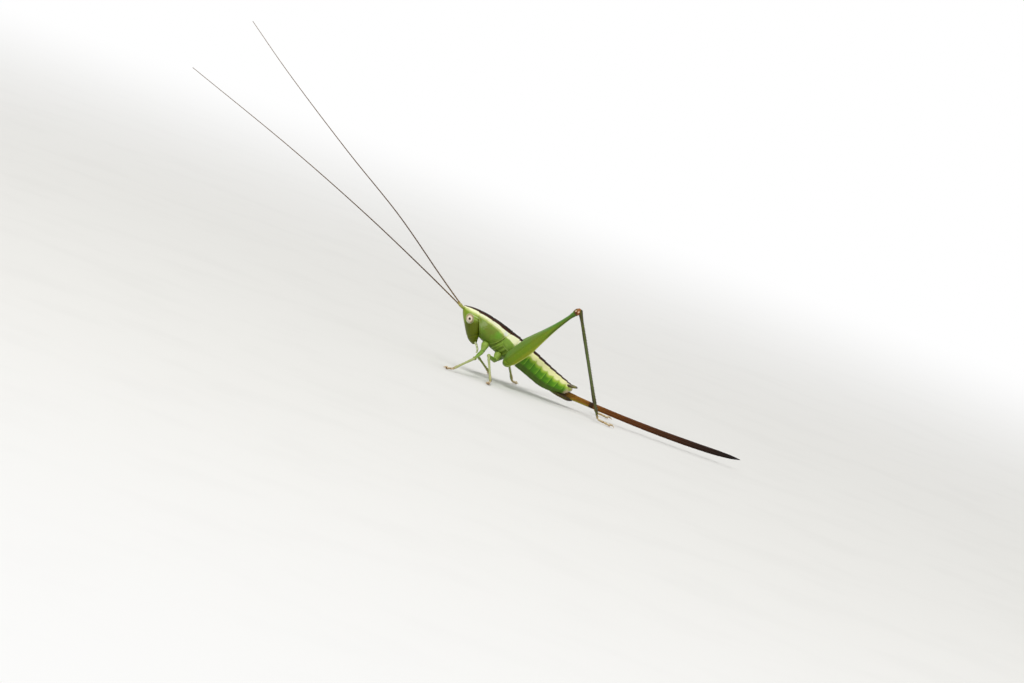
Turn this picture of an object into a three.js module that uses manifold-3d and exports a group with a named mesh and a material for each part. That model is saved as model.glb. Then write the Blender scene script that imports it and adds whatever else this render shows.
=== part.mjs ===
// A long-horned grasshopper: a female meadow conehead nymph, life size, standing still.
//
// Millimetres. +Z is up, the head points to -X and the left side to -Y. The six feet stand on
// small flats at z = 0, and the origin is under the middle of the whole figure.
//
// Two frames are used while building. The floor frame has its x = 0 under the tip of the head.
// The trunk frame starts at the tip of the head, with +X running back along the body and +Z up
// through its back, and is pitched so that the head is carried high.

import * as THREE from "three";
import { mergeVertices } from "three/addons/utils/BufferGeometryUtils.js";
import Module from "manifold-3d";

const wasm = await Module();
wasm.setup();

// ---------------------------------------------------------------------------
// Driving dimensions

const HEAD_TIP_HEIGHT = 6.86; // from the floor to the tip of the head
const BODY_PITCH = THREE.MathUtils.degToRad(17.5); // head up
const SEAM = 0.03; // gap left between neighbouring pieces
const BODY_SIDES = 20; // facets round the trunk
const LIMB_SIDES = 8; // facets round a leg or palp
const SIDES = { left: -1, right: 1 }; // the sign of y on each side
const ACROSS = new THREE.Vector3(0, 1, 0);

// Trunk sections without the head: distance back, top, bottom and half width.
const TRUNK_ROWS = [
  [1.2, 0.52, -1.3, 1.02],
  [2.3, 0.78, -1.72, 1.26],
  [3.6, 0.93, -1.95, 1.38],
  [4.9, 0.99, -2.08, 1.44],
  [6.2, 0.96, -2.14, 1.48],
  [7.6, 0.89, -2.12, 1.5],
  [9.0, 0.78, -2.08, 1.46],
  [10.6, 0.6, -2.14, 1.46],
  [12.0, 0.45, -2.16, 1.4],
  [13.1, 0.36, -1.92, 1.2],
  [14.0, 0.29, -1.5, 0.92],
  [14.7, 0.22, -1.08, 0.6],
  [15.1, 0.08, -0.7, 0.3],
];
const TRUNK_SQUARENESS = 0.88; // 1 is an ellipse, and less is a boxier section
const TERGITES = 7; // plates of the abdomen in front of its tapering end
const TERGITE_LENGTH = 0.82;
const TERGITE_STEP = 0.035; // how far a plate's rear edge stands over the next plate
const TERGITE_LIP = 0.88; // share of a plate's length at which its edge is highest

// The seams that divide the trunk, from top to bottom of its side view (x, z).
const WAIST = 8.35; // where the abdomen begins
const HEAD_SEAM = [
  [1.54, 0.7],
  [3.45, -1.8],
];
const PRONOTUM_SEAM = [
  [6.0, 0.98],
  [5.87, 0.4],
  [5.6, -0.45],
  [5.23, -1.2],
  [4.66, -1.9],
];
const WAIST_SEAM = [
  [WAIST, 1],
  [WAIST, -2.2],
];

// Head sections, along a line that slants from the crown down and back to the mouth:
// distance down it, reach forwards, reach backwards and half width.
const CROWN = new THREE.Vector3(0.9, 0, 0.45);
const MOUTH = new THREE.Vector3(3.45, 0, -2.95);
const HEAD_ROWS = [
  [-1.3, 0.7, 0.9, 0.9],
  [-0.6, 1.0, 1.2, 1.1],
  [0, 1.17, 1.3, 1.17],
  [0.6, 1.26, 1.3, 1.21],
  [1.2, 1.21, 1.3, 1.24],
  [1.9, 1.07, 1.2, 1.22],
  [2.6, 0.94, 0.95, 1.12],
  [3.1, 0.81, 0.68, 0.95],
  [3.6, 0.59, 0.5, 0.7],
  [3.95, 0.33, 0.36, 0.45],
  [4.15, 0.13, 0.16, 0.2],
];
// The roof of the head narrows to a blunt point between the feelers: distance back, top and
// half width.
const ROOF_ROWS = [
  [-0.12, -0.08, 0.14],
  [0, 0.02, 0.29],
  [0.25, 0.15, 0.56],
  [0.6, 0.31, 0.86],
  [1.1, 0.49, 1.1],
  [1.7, 0.66, 1.3],
  [2.6, 0.82, 1.45],
  [4.4, 0.9, 1.5],
];
const ROOF_DEPTH = 5;

const EYE_CENTRE = new THREE.Vector3(1.3, 1.08, -0.76);
const EYE_RADII = new THREE.Vector3(0.45, 0.4, 0.52);

// Feelers, in the floor frame, each through its root and a few points out to its tip.
const FEELER_RADIUS = 0.26;
const FEELER_ROUTES = {
  left: [
    [-0.1, -0.36, 6.5],
    [-4.75, -1.4, 8.75],
    [-13.2, -4.3, 12.7],
    [-23.4, -7.8, 17.0],
    [-36.4, -12.0, 21.9],
  ],
  right: [
    [-0.1, 0.36, 6.5],
    [-3.6, 1.2, 8.87],
    [-10.2, 3.4, 13.4],
    [-18.1, 6.2, 18.0],
    [-27.6, 9.7, 23.9],
    [-33.5, 12.0, 27.9],
  ],
};
const SCAPE_RADIUS = 0.3;

const PALP_RADIUS = 0.25;
const PALP_ROUTE = [
  [3.3, 0.42, -2.5],
  [3.7, 0.62, -2.75],
  [4.05, 0.7, -3.05],
  [4.22, 0.66, -3.4],
];

// The wing pads of a nymph, one leaf-shaped flap a side, let into the thorax.
const WING_PAD_ROOT = new THREE.Vector3(5.5, 1.36, -0.25);
const WING_PAD_TIP = new THREE.Vector3(7.75, 1.4, -0.85);
const WING_PAD_ROWS = [
  [0, 0.42, 0.27],
  [0.25, 0.56, 0.27],
  [0.5, 0.56, 0.27],
  [0.75, 0.4, 0.26],
  [0.92, 0.2, 0.25],
  [1, 0.08, 0.18],
];

// The ovipositor is one blade on an arc: root, the point its bend aims at, and tip.
const OVIPOSITOR_ROOT = new THREE.Vector3(13.7, 0, -1.29);
const OVIPOSITOR_AIM = new THREE.Vector3(26.0, 0, 1.6);
const OVIPOSITOR_TIP = new THREE.Vector3(34.4, 0, 4.9);
const OVIPOSITOR_ROWS = [
  [0, 0.36, 0.4],
  [0.06, 0.42, 0.36],
  [0.12, 0.36, 0.28],
  [0.25, 0.34, 0.26],
  [0.55, 0.365, 0.26],
  [0.78, 0.36, 0.255],
  [0.9, 0.3, 0.25],
  [0.96, 0.19, 0.18],
  [1, 0.05, 0.07],
];

const PLATE_ROOT = new THREE.Vector3(12.7, 0, -1.74);
const PLATE_TIP = new THREE.Vector3(15.75, 0, -1.2);
const PLATE_ROWS = [
  [0, 0.12, 0.3],
  [0.25, 0.27, 0.52],
  [0.6, 0.32, 0.46],
  [0.88, 0.26, 0.32],
  [1, 0.08, 0.14],
];

const CERCUS_ROOT = new THREE.Vector3(14.2, 0.5, -0.15);
const CERCUS_TIP = new THREE.Vector3(15.4, 0.72, 0.3);
const CERCUS_ROWS = [
  [0, 0.3, 0.3],
  [0.5, 0.27, 0.27],
  [0.85, 0.2, 0.2],
  [1, 0.07, 0.07],
];

// Legs in the floor frame. y is given outwards. coxa is the middle of the coxa in the body.
const LEG_POINTS = {
  fore_left: {
    coxa: [3.6, 0.72, 3.62],
    hip: [3.55, 1.25, 2.8],
    knee: [3.0, 3.95, 2.0],
    ankle: [1.25, 5.55, 0.36],
    toe: [0.25, 6.25, 0.2],
  },
  fore_right: {
    coxa: [3.6, 0.72, 3.62],
    hip: [3.6, 1.25, 2.8],
    knee: [3.2, 3.7, 1.75],
    ankle: [5.0, 5.35, 0.36],
    toe: [5.0, 6.6, 0.2],
  },
  middle_left: {
    coxa: [5.3, 0.76, 3.02],
    hip: [5.2, 1.3, 2.32],
    knee: [4.35, 4.05, 2.85],
    ankle: [5.5, 5.55, 0.36],
    toe: [5.25, 6.85, 0.2],
  },
  middle_right: {
    coxa: [5.3, 0.76, 3.02],
    hip: [5.3, 1.3, 2.32],
    knee: [6.3, 3.95, 2.9],
    ankle: [7.7, 5.35, 0.36],
    toe: [8.35, 6.45, 0.2],
  },
  hind_left: {
    coxa: [6.75, 0.8, 2.75],
    hip: [6.3, 1.92, 2.5],
    knee: [12.1, 3.6, 11.0],
    ankle: [17.9, 3.9, 0.42],
    toe: [19.95, 4.3, 0.2],
  },
  hind_right: {
    coxa: [6.75, 0.8, 2.75],
    hip: [6.3, 1.92, 2.5],
    knee: [12.1, 3.7, 10.37],
    ankle: [17.56, 4.0, 0.42],
    toe: [19.6, 4.45, 0.2],
  },
};

const SHIN_CLEARANCE = 0.1; // the lowest point of a shin, from the floor

// Along each part of a leg: share of its length, half depth in the leg's plane, half width.
const COXA_ROWS = [
  [0, 0.5, 0.5],
  [0.45, 0.5, 0.48],
  [0.8, 0.4, 0.38],
  [1, 0.22, 0.22],
];
const HIND_COXA_ROWS = [
  [0, 0.6, 0.6],
  [0.5, 0.6, 0.58],
  [0.85, 0.5, 0.46],
  [1, 0.3, 0.3],
];
const SMALL_FEMUR_ROWS = [
  [0, 0.18, 0.18],
  [0.08, 0.28, 0.27],
  [0.35, 0.32, 0.29],
  [0.7, 0.28, 0.26],
  [0.92, 0.28, 0.26],
  [1, 0.16, 0.15],
];
const HIND_FEMUR_ROWS = [
  [0, 0.42, 0.3],
  [0.06, 0.74, 0.42],
  [0.16, 0.9, 0.5],
  [0.27, 0.92, 0.51],
  [0.4, 0.74, 0.44],
  [0.55, 0.5, 0.35],
  [0.7, 0.32, 0.28],
  [0.8, 0.26, 0.255],
  [0.9, 0.27, 0.26],
  [0.96, 0.38, 0.3],
  [1, 0.26, 0.2],
];
const TIBIA_ROWS = [
  [0, 0.2, 0.2],
  [0.05, 0.27, 0.26],
  [0.3, 0.26, 0.25],
  [0.7, 0.25, 0.25],
  [0.96, 0.27, 0.26],
  [1, 0.2, 0.2],
];
const FOOT_ROWS = [
  [0, 0.2, 0.2],
  [0.12, 0.27, 0.27],
  [0.45, 0.26, 0.27],
  [0.75, 0.26, 0.3],
  [0.92, 0.26, 0.28],
  [1, 0.14, 0.16],
];

// ---------------------------------------------------------------------------
// Materials

const paint = (colour, roughness) =>
  new THREE.MeshStandardMaterial({ color: colour, roughness, metalness: 0 });

const MATERIALS = {
  shell: paint("#8fb53a", 0.45), // green body plates
  leg: paint("#7fa845", 0.45), // green legs
  shin: paint("#5d6a45", 0.5), // grey-green hind shins
  foot: paint("#b08a5c", 0.5), // pale brown feet
  eye: paint("#d9c4b4", 0.25),
  feeler: paint("#6b4a2c", 0.5),
  palp: paint("#c9cf9a", 0.45),
  blade: paint("#7a3f1a", 0.35), // ovipositor and the plate below it
  tail: paint("#5a3a20", 0.5), // cerci
};

// ---------------------------------------------------------------------------
// Solids and surfaces

// A closed geometry as a solid.
function solidOf(geometry) {
  const bare = geometry.clone();
  bare.deleteAttribute("normal");
  bare.deleteAttribute("uv");
  const merged = mergeVertices(bare, 1e-5);
  return new wasm.Manifold(
    new wasm.Mesh({
      numProp: 3,
      vertProperties: merged.attributes.position.array,
      triVerts: new Uint32Array(merged.index.array),
    }),
  );
}

// A solid as a geometry, keeping only its largest body.
function geometryOf(solid) {
  const bodies = solid.decompose().sort((a, b) => b.volume() - a.volume());
  const mesh = bodies[0].getMesh();
  const geometry = new THREE.BufferGeometry();
  geometry.setAttribute("position", new THREE.BufferAttribute(mesh.vertProperties, 3));
  geometry.setIndex(new THREE.BufferAttribute(mesh.triVerts, 1));
  geometry.computeVertexNormals();
  return geometry;
}

const middleOf = (ring) =>
  ring.reduce((sum, p) => sum.add(p), new THREE.Vector3()).divideScalar(ring.length);

// A closed surface through rings of equally many points, with a pole at each end.
function skinOver(rings) {
  const sides = rings[0].length;
  const points = rings.flat();
  const firstPole = points.length;
  const lastPole = firstPole + 1;
  points.push(middleOf(rings[0]), middleOf(rings[rings.length - 1]));
  const index = [];
  const lastRing = (rings.length - 1) * sides;
  for (let k = 0; k < sides; k += 1) {
    const next = (k + 1) % sides;
    index.push(firstPole, next, k);
    index.push(lastPole, lastRing + k, lastRing + next);
    for (let ring = 0; ring < lastRing; ring += sides) {
      index.push(ring + k, ring + next, ring + sides + k);
      index.push(ring + next, ring + sides + next, ring + sides + k);
    }
  }
  const geometry = new THREE.BufferGeometry().setFromPoints(points);
  geometry.setIndex(index);
  return geometry;
}

// One ring: an ellipse, or a boxier oval, about centre in the plane of across and up.
// Seen along the direction across x up, its points run anticlockwise.
function oval(centre, across, up, halfWidth, halfHeight, sides, squareness = 1) {
  const bulge = (value) => Math.sign(value) * Math.abs(value) ** squareness;
  return Array.from({ length: sides }, (_, k) => {
    const angle = (2 * Math.PI * (k + 0.5)) / sides;
    return centre
      .clone()
      .addScaledVector(across, halfWidth * bulge(Math.cos(angle)))
      .addScaledVector(up, halfHeight * bulge(Math.sin(angle)));
  });
}

// Reads between rows of numbers whose first column is the distance along.
function readRows(rows, Interpolant) {
  const reader = new Interpolant(
    rows.map((row) => row[0]),
    rows.flatMap((row) => row.slice(1)),
    rows[0].length - 1,
  );
  return (along) => [...reader.evaluate(along)];
}

// The distances of the rows, with every gap between two rows divided evenly.
function stations(rows, perGap) {
  const gaps = rows.slice(1).map((row, k) => [rows[k][0], row[0]]);
  const inner = gaps.flatMap(([from, to]) =>
    Array.from({ length: perGap }, (_, k) => THREE.MathUtils.lerp(from, to, k / perGap)),
  );
  return [...inner, rows[rows.length - 1][0]];
}

// A limb along a curve. Its rows give the share of the length, half depth and half width,
// and depth is measured at right angles to side, the normal of the plane the limb bends in.
function limb(curve, rows, side, { perGap = 1, sides = LIMB_SIDES, grow = 0 } = {}) {
  const read = readRows(rows, THREE.LinearInterpolant);
  const rings = stations(rows, perGap).map((along) => {
    const [halfDepth, halfWidth] = read(along);
    const tangent = curve.getTangentAt(along);
    const up = new THREE.Vector3().crossVectors(tangent, side).normalize();
    const across = new THREE.Vector3().crossVectors(up, tangent).normalize();
    const centre = curve.getPointAt(along);
    return oval(centre, across, up, halfWidth + grow, halfDepth + grow, sides);
  });
  return solidOf(skinOver(lengthened(rings, grow)));
}

// Rings with the first and last moved outwards along the line through their neighbours.
function lengthened(rings, by) {
  if (by === 0) return rings;
  const push = (ring, from) => {
    const outwards = new THREE.Vector3().subVectors(middleOf(ring), middleOf(from)).setLength(by);
    return ring.map((p) => p.clone().add(outwards));
  };
  const last = rings.length - 1;
  return [push(rings[0], rings[1]), ...rings.slice(1, last), push(rings[last], rings[last - 1])];
}

// A point given for the right side, moved to the side wanted.
const onSide = (x, y, z, sign) => new THREE.Vector3(x, sign * y, z);
const mirrored = (vector, sign) => onSide(vector.x, vector.y, vector.z, sign);

// Everything behind a seam of the side view, moved back by shift. Both ends of the seam run
// on in a straight line.
function behindSeam(seam, shift) {
  const reach = 60;
  const points = seam.map(([x, z]) => new THREE.Vector2(x + shift, z));
  const last = points.length - 1;
  const runOn = (from, to) =>
    to.clone().addScaledVector(new THREE.Vector2().subVectors(to, from).normalize(), reach / 6);
  const top = runOn(points[1], points[0]);
  const bottom = runOn(points[last - 1], points[last]);
  const outline = new THREE.Shape([
    top,
    ...points,
    bottom,
    new THREE.Vector2(reach, bottom.y),
    new THREE.Vector2(reach, top.y),
  ]);
  const block = new THREE.ExtrudeGeometry(outline, { depth: reach, bevelEnabled: false });
  block.translate(0, 0, -reach / 2);
  block.rotateX(Math.PI / 2);
  return solidOf(block);
}

// ---------------------------------------------------------------------------
// The trunk, in the trunk frame

// Distances of the trunk's rings, each with how far its plate stands out there. Every plate
// of the abdomen rises to its rear edge and drops to the next plate.
function trunkStations() {
  const front = stations(TRUNK_ROWS, 2).filter((x) => x < WAIST);
  const plates = Array.from({ length: TERGITES }, (_, k) => WAIST + k * TERGITE_LENGTH);
  const rear = TRUNK_ROWS.map(([x]) => x).filter((x) => x > WAIST + TERGITES * TERGITE_LENGTH);
  return [
    ...front.map((x) => [x, 0]),
    ...plates.flatMap((x) => [
      [x, 0],
      [x + TERGITE_LENGTH * TERGITE_LIP, TERGITE_STEP],
    ]),
    ...rear.map((x) => [x, 0]),
  ];
}

function trunkSolid(grow = 0) {
  const read = readRows(TRUNK_ROWS, THREE.CubicInterpolant);
  const up = new THREE.Vector3(0, 0, 1);
  const rings = trunkStations().map(([x, rise]) => {
    const [top, bottom, halfWidth] = read(x);
    const centre = new THREE.Vector3(x, 0, (top + bottom) / 2);
    const out = rise + grow;
    const halfHeight = (top - bottom) / 2 + out;
    return oval(centre, ACROSS, up, halfWidth + out, halfHeight, BODY_SIDES, TRUNK_SQUARENESS);
  });
  return solidOf(skinOver(lengthened(rings, grow)));
}

// The roof of the head as an arch that runs back over it: round above, and deep enough
// below to reach past the mouth.
function roofSolid(grow) {
  const read = readRows(ROOF_ROWS, THREE.CubicInterpolant);
  const rings = stations(ROOF_ROWS, 2).map((x) => {
    const [top, halfWidth] = read(x);
    const spring = new THREE.Vector3(x, 0, top - halfWidth);
    const unit = oval(new THREE.Vector3(), ACROSS, new THREE.Vector3(0, 0, 1), 1, 1, BODY_SIDES);
    return unit.map(({ y, z }) =>
      new THREE.Vector3(
        0,
        y * (halfWidth + grow),
        z > 0 ? z * (halfWidth + grow) : z * ROOF_DEPTH,
      ).add(spring),
    );
  });
  return solidOf(skinOver(lengthened(rings, grow)));
}

function headSolid(grow = 0) {
  const read = readRows(HEAD_ROWS, THREE.CubicInterpolant);
  const down = new THREE.Vector3().subVectors(MOUTH, CROWN).normalize();
  const across = ACROSS.clone().negate();
  const forward = new THREE.Vector3(down.z, 0, -down.x);
  const rings = stations(HEAD_ROWS, 2).map((along) => {
    const [front, back, halfWidth] = read(along);
    const centre = CROWN.clone()
      .addScaledVector(down, along)
      .addScaledVector(forward, (front - back) / 2);
    const reach = (front + back) / 2;
    return oval(centre, across, forward, halfWidth + grow, reach + grow, BODY_SIDES);
  });
  return solidOf(skinOver(lengthened(rings, grow))).intersect(roofSolid(grow));
}

function eyeSolid(sign, grow = 0) {
  const eye = new THREE.SphereGeometry(1, 16, 10);
  eye.scale(EYE_RADII.x + grow, EYE_RADII.y + grow, EYE_RADII.z + grow);
  eye.rotateY(-Math.atan2(MOUTH.x - CROWN.x, CROWN.z - MOUTH.z));
  eye.translate(...mirrored(EYE_CENTRE, sign));
  return solidOf(eye);
}

function wingPadSolid(sign, grow = 0) {
  const line = new THREE.LineCurve3(mirrored(WING_PAD_ROOT, sign), mirrored(WING_PAD_TIP, sign));
  return limb(line, WING_PAD_ROWS, ACROSS, { sides: 12, grow });
}

function ovipositorSolid(grow = 0) {
  const arc = new THREE.QuadraticBezierCurve3(OVIPOSITOR_ROOT, OVIPOSITOR_AIM, OVIPOSITOR_TIP);
  return limb(arc, OVIPOSITOR_ROWS, ACROSS, { perGap: 3, sides: 10, grow });
}

function plateSolid() {
  const line = new THREE.LineCurve3(PLATE_ROOT, PLATE_TIP);
  return limb(line, PLATE_ROWS, ACROSS, { sides: 10 });
}

function cercusSolid(sign) {
  const line = new THREE.LineCurve3(mirrored(CERCUS_ROOT, sign), mirrored(CERCUS_TIP, sign));
  return limb(line, CERCUS_ROWS, ACROSS);
}

function palpSolid(sign) {
  const route = new THREE.CatmullRomCurve3(
    PALP_ROUTE.map(([x, y, z]) => onSide(x, y, z, sign)),
  );
  const rows = [
    [0, PALP_RADIUS * 0.8, PALP_RADIUS * 0.8],
    [0.1, PALP_RADIUS, PALP_RADIUS],
    [0.9, PALP_RADIUS, PALP_RADIUS],
    [1, PALP_RADIUS * 0.5, PALP_RADIUS * 0.5],
  ];
  return limb(route, rows, ACROSS, { perGap: 3 });
}

// ---------------------------------------------------------------------------
// Feelers and legs, in the floor frame

function feelerSolid(name) {
  const route = new THREE.CatmullRomCurve3(
    FEELER_ROUTES[name].map(([x, y, z]) => new THREE.Vector3(x, y, z)),
  );
  const rows = [
    [0, SCAPE_RADIUS * 0.8, SCAPE_RADIUS * 0.8],
    [0.012, SCAPE_RADIUS, SCAPE_RADIUS],
    [0.04, FEELER_RADIUS, FEELER_RADIUS],
    [0.5, FEELER_RADIUS, FEELER_RADIUS],
    [0.97, FEELER_RADIUS * 0.97, FEELER_RADIUS * 0.97],
    [1, FEELER_RADIUS * 0.5, FEELER_RADIUS * 0.5],
  ];
  return limb(route, rows, ACROSS, { perGap: 4, sides: 6 });
}

// The four solids of one leg. Each is cut by the piece before it, and the foot by the floor.
function legSolids(name, body) {
  const sign = SIDES[name.split("_")[1]];
  const isHind = name.startsWith("hind");
  const at = Object.fromEntries(
    Object.entries(LEG_POINTS[name]).map(([key, [x, y, z]]) => [key, onSide(x, y, z, sign)]),
  );
  const thigh = new THREE.Vector3().subVectors(at.knee, at.hip);
  const shin = new THREE.Vector3().subVectors(at.ankle, at.knee);
  const side = new THREE.Vector3().crossVectors(thigh, shin).normalize();
  const level = new THREE.Vector3(0, 0, 1)
    .cross(new THREE.Vector3().subVectors(at.toe, at.ankle))
    .normalize();
  const femurRows = isHind ? HIND_FEMUR_ROWS : SMALL_FEMUR_ROWS;
  const between = (from, to, rows, normal, options) =>
    limb(new THREE.LineCurve3(from, to), rows, normal, options);

  const coxa = between(at.coxa, at.hip, isHind ? HIND_COXA_ROWS : COXA_ROWS, side);
  const femur = (grow) => between(at.hip, at.knee, femurRows, side, { sides: 10, grow });
  const tibia = (grow) => between(at.knee, at.ankle, TIBIA_ROWS, side, { grow });
  const foot = between(at.ankle, at.toe, FOOT_ROWS, level);
  return {
    coxa: coxa.subtract(body).subtract(femur(SEAM)),
    femur: femur(0).subtract(body),
    tibia: tibia(0).subtract(femur(SEAM)).trimByPlane([0, 0, 1], SHIN_CLEARANCE),
    foot: foot.subtract(tibia(SEAM)).trimByPlane([0, 0, 1], 0),
  };
}

// ---------------------------------------------------------------------------
// The figure

const figure = new THREE.Group();
const trunkGroup = new THREE.Group();
trunkGroup.position.set(0, 0, HEAD_TIP_HEIGHT);
trunkGroup.rotation.y = BODY_PITCH;
figure.add(trunkGroup);

function addPiece(group, name, solid, material) {
  const mesh = new THREE.Mesh(geometryOf(solid), material);
  mesh.name = name;
  group.add(mesh);
}

const trunk = trunkSolid();
const trunkGrown = trunkSolid(SEAM);
const sides = Object.entries(SIDES);
const sliceOfTrunk = (seam, nextSeam) =>
  trunk.intersect(behindSeam(seam, SEAM / 2)).subtract(behindSeam(nextSeam, -SEAM / 2));

let head = headSolid().subtract(behindSeam(HEAD_SEAM, -SEAM / 2));
let thorax = sliceOfTrunk(PRONOTUM_SEAM, WAIST_SEAM);
for (const [, sign] of sides) {
  head = head.subtract(eyeSolid(sign, SEAM));
  thorax = thorax.subtract(wingPadSolid(sign, SEAM));
}
addPiece(trunkGroup, "head", head, MATERIALS.shell);
addPiece(trunkGroup, "pronotum", sliceOfTrunk(HEAD_SEAM, PRONOTUM_SEAM), MATERIALS.shell);
addPiece(trunkGroup, "thorax", thorax, MATERIALS.shell);
const abdomen = trunk.intersect(behindSeam(WAIST_SEAM, SEAM / 2)).subtract(ovipositorSolid(SEAM));
addPiece(trunkGroup, "abdomen", abdomen, MATERIALS.shell);

addPiece(trunkGroup, "ovipositor", ovipositorSolid(), MATERIALS.blade);
const plate = plateSolid().subtract(trunkGrown).subtract(ovipositorSolid(SEAM));
addPiece(trunkGroup, "genital_plate", plate, MATERIALS.blade);

const headGrown = headSolid(SEAM);
for (const [side, sign] of sides) {
  addPiece(trunkGroup, `eye_${side}`, eyeSolid(sign), MATERIALS.eye);
  addPiece(trunkGroup, `palp_${side}`, palpSolid(sign).subtract(headGrown), MATERIALS.palp);
  const pad = wingPadSolid(sign).intersect(behindSeam(PRONOTUM_SEAM, SEAM / 2));
  addPiece(trunkGroup, `wing_pad_${side}`, pad, MATERIALS.shell);
  const cercus = cercusSolid(sign).subtract(trunkGrown).subtract(ovipositorSolid(SEAM));
  addPiece(trunkGroup, `cercus_${side}`, cercus, MATERIALS.tail);
}

trunkGroup.updateMatrixWorld(true);
const trunkPlace = trunkGroup.matrixWorld.toArray();
const bodyInPlace = trunkGrown.transform(trunkPlace);
const headInPlace = headGrown.transform(trunkPlace);

for (const [side] of sides) {
  addPiece(figure, `feeler_${side}`, feelerSolid(side).subtract(headInPlace), MATERIALS.feeler);
}

for (const name of Object.keys(LEG_POINTS)) {
  const solids = legSolids(name, bodyInPlace);
  const shinMaterial = name.startsWith("hind") ? MATERIALS.shin : MATERIALS.leg;
  addPiece(figure, `${name}_coxa`, solids.coxa, MATERIALS.leg);
  addPiece(figure, `${name}_femur`, solids.femur, MATERIALS.leg);
  addPiece(figure, `${name}_tibia`, solids.tibia, shinMaterial);
  addPiece(figure, `${name}_foot`, solids.foot, MATERIALS.foot);
}

// The origin goes under the middle of the figure.
const middle = new THREE.Box3().setFromObject(figure, true).getCenter(new THREE.Vector3());
figure.position.set(-middle.x, -middle.y, 0);

const grasshopper = new THREE.Group();
grasshopper.add(figure);

export default grasshopper;
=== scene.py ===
"""The looks of a meadow conehead nymph, life size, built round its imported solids.

Shapes are made in millimetres, in two frames. The floor frame has x = 0 under the tip of the
head, the head towards -X and the left side towards -Y. The trunk frame starts at the tip of the
head, runs back along the body and is pitched with it. The maker moves each finished piece into
the frame of the solids, in metres.

A piece carries fields, which are values at its points that its finish reads. The field place
holds the points themselves, or how far along, up and across a limb they lie, in millimetres.

Rows are tables of sizes, in millimetres. Where nothing else is said, a row gives a share of the
part's length, and then half its depth and half its width, or its radius.
"""

import logging
import math
from abc import ABC, abstractmethod
from collections.abc import Mapping, Sequence
from dataclasses import dataclass, replace
from enum import Enum
from typing import Any

import bpy
import numpy as np
from bpy.types import Material, Mesh, Node, NodeSocket, NodeTree
from mathutils import Matrix, Vector


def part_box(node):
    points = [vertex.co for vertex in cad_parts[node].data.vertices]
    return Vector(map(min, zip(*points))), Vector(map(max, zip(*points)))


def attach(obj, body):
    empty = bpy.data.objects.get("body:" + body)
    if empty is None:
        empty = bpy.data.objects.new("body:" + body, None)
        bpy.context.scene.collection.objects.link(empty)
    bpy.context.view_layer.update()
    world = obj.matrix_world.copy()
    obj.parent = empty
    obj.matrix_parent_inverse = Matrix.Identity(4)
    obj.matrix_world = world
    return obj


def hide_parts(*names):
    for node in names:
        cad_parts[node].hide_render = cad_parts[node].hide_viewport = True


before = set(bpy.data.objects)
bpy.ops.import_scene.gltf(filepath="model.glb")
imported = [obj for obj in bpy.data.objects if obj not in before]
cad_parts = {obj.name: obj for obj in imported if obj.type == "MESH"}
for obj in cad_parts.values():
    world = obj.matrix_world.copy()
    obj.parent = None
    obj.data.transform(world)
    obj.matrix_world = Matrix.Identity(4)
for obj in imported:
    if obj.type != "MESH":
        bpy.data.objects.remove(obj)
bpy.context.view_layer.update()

log = logging.getLogger("conehead")
Array = np.ndarray
Fields = dict[str, Array]
Link = Node | NodeSocket
Rows = tuple[tuple[float, ...], ...]
Span = tuple[float, float]
Spot = tuple[float, float, float]

MM = 0.001
TINY = 1e-9
PITCH = math.radians(17.5)
TIP_HEIGHT = 6.86
ACROSS = np.array([0.0, 1.0, 0.0])
UPRIGHT = np.array([0.0, 0.0, 1.0])


class Side(Enum):
    """The two sides of the body, by the sign of y."""

    LEFT = -1
    RIGHT = 1

    @property
    def label(self) -> str:
        """The side's name as the solids spell it."""
        return self.name.lower()

    def out(self, spots: Spot | Rows | Array) -> Array:
        """Spots whose y is measured outwards from the body, on this side."""
        return np.array(spots) * (1, self.value, 1)


# Numbers and curves


def unit(vectors: Array) -> Array:
    """Vectors scaled to a length of one."""
    return vectors / np.maximum(np.linalg.norm(vectors, axis=-1, keepdims=True), TINY)


def xyz(points: Array) -> Array:
    """The coordinates of points, with an array for each axis."""
    return np.moveaxis(np.asarray(points, float), -1, 0)


def from_trunk(points: Array) -> Array:
    """Points of the trunk frame in the floor frame."""
    (x, y, z), cos, sin = xyz(points), math.cos(PITCH), math.sin(PITCH)
    return np.stack([x * cos + z * sin, y, TIP_HEIGHT + z * cos - x * sin], axis=-1)


def eased(value: Array, low: float, high: float) -> Array:
    """Runs smoothly from 0 at low to 1 at high."""
    share = np.clip((value - low) / (high - low), 0, 1)
    return share * share * (3 - 2 * share)


def ridge(distance: Array, width: float) -> Array:
    """A smooth ridge of height 1 where the distance is 0, about as wide as its width."""
    return np.exp(-((distance / width) ** 2))


def around(sides: int) -> Array:
    """Angles evenly spaced round a ring, in radians."""
    return np.linspace(0, 2 * np.pi, sides, endpoint=False)


def crowded(steps: int) -> Array:
    """Shares from 0 to 1 that lie closer together towards both ends."""
    share = np.linspace(0, 1, steps)
    return 0.5 * share + 0.25 * (1 - np.cos(np.pi * share))


def lengths(route: Array) -> Array:
    """How far along a route each of its points lies."""
    return np.concatenate([[0], np.cumsum(np.linalg.norm(np.diff(route, axis=0), axis=1))])


def evenly(route: Array, steps: int) -> Array:
    """The same route as steps points, evenly spaced along its length."""
    along, wanted = lengths(route), np.linspace(0, lengths(route)[-1], steps)
    return np.stack([np.interp(wanted, along, column) for column in route.T], axis=-1)


def read_line(rows: Rows, at: Array) -> Array:
    """Reads straight lines between rows of two numbers."""
    return np.interp(at, *np.array(rows, float).T)


def hermite(share: Array, start: Array, end: Array, leave: Array, arrive: Array) -> Array:
    """Reads a cubic between two values, with the slopes that it leaves and arrives by."""
    ends = start + (3 * share**2 - 2 * share**3) * (end - start)
    return ends + (share**3 - 2 * share**2 + share) * leave + (share**3 - share**2) * arrive


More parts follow.
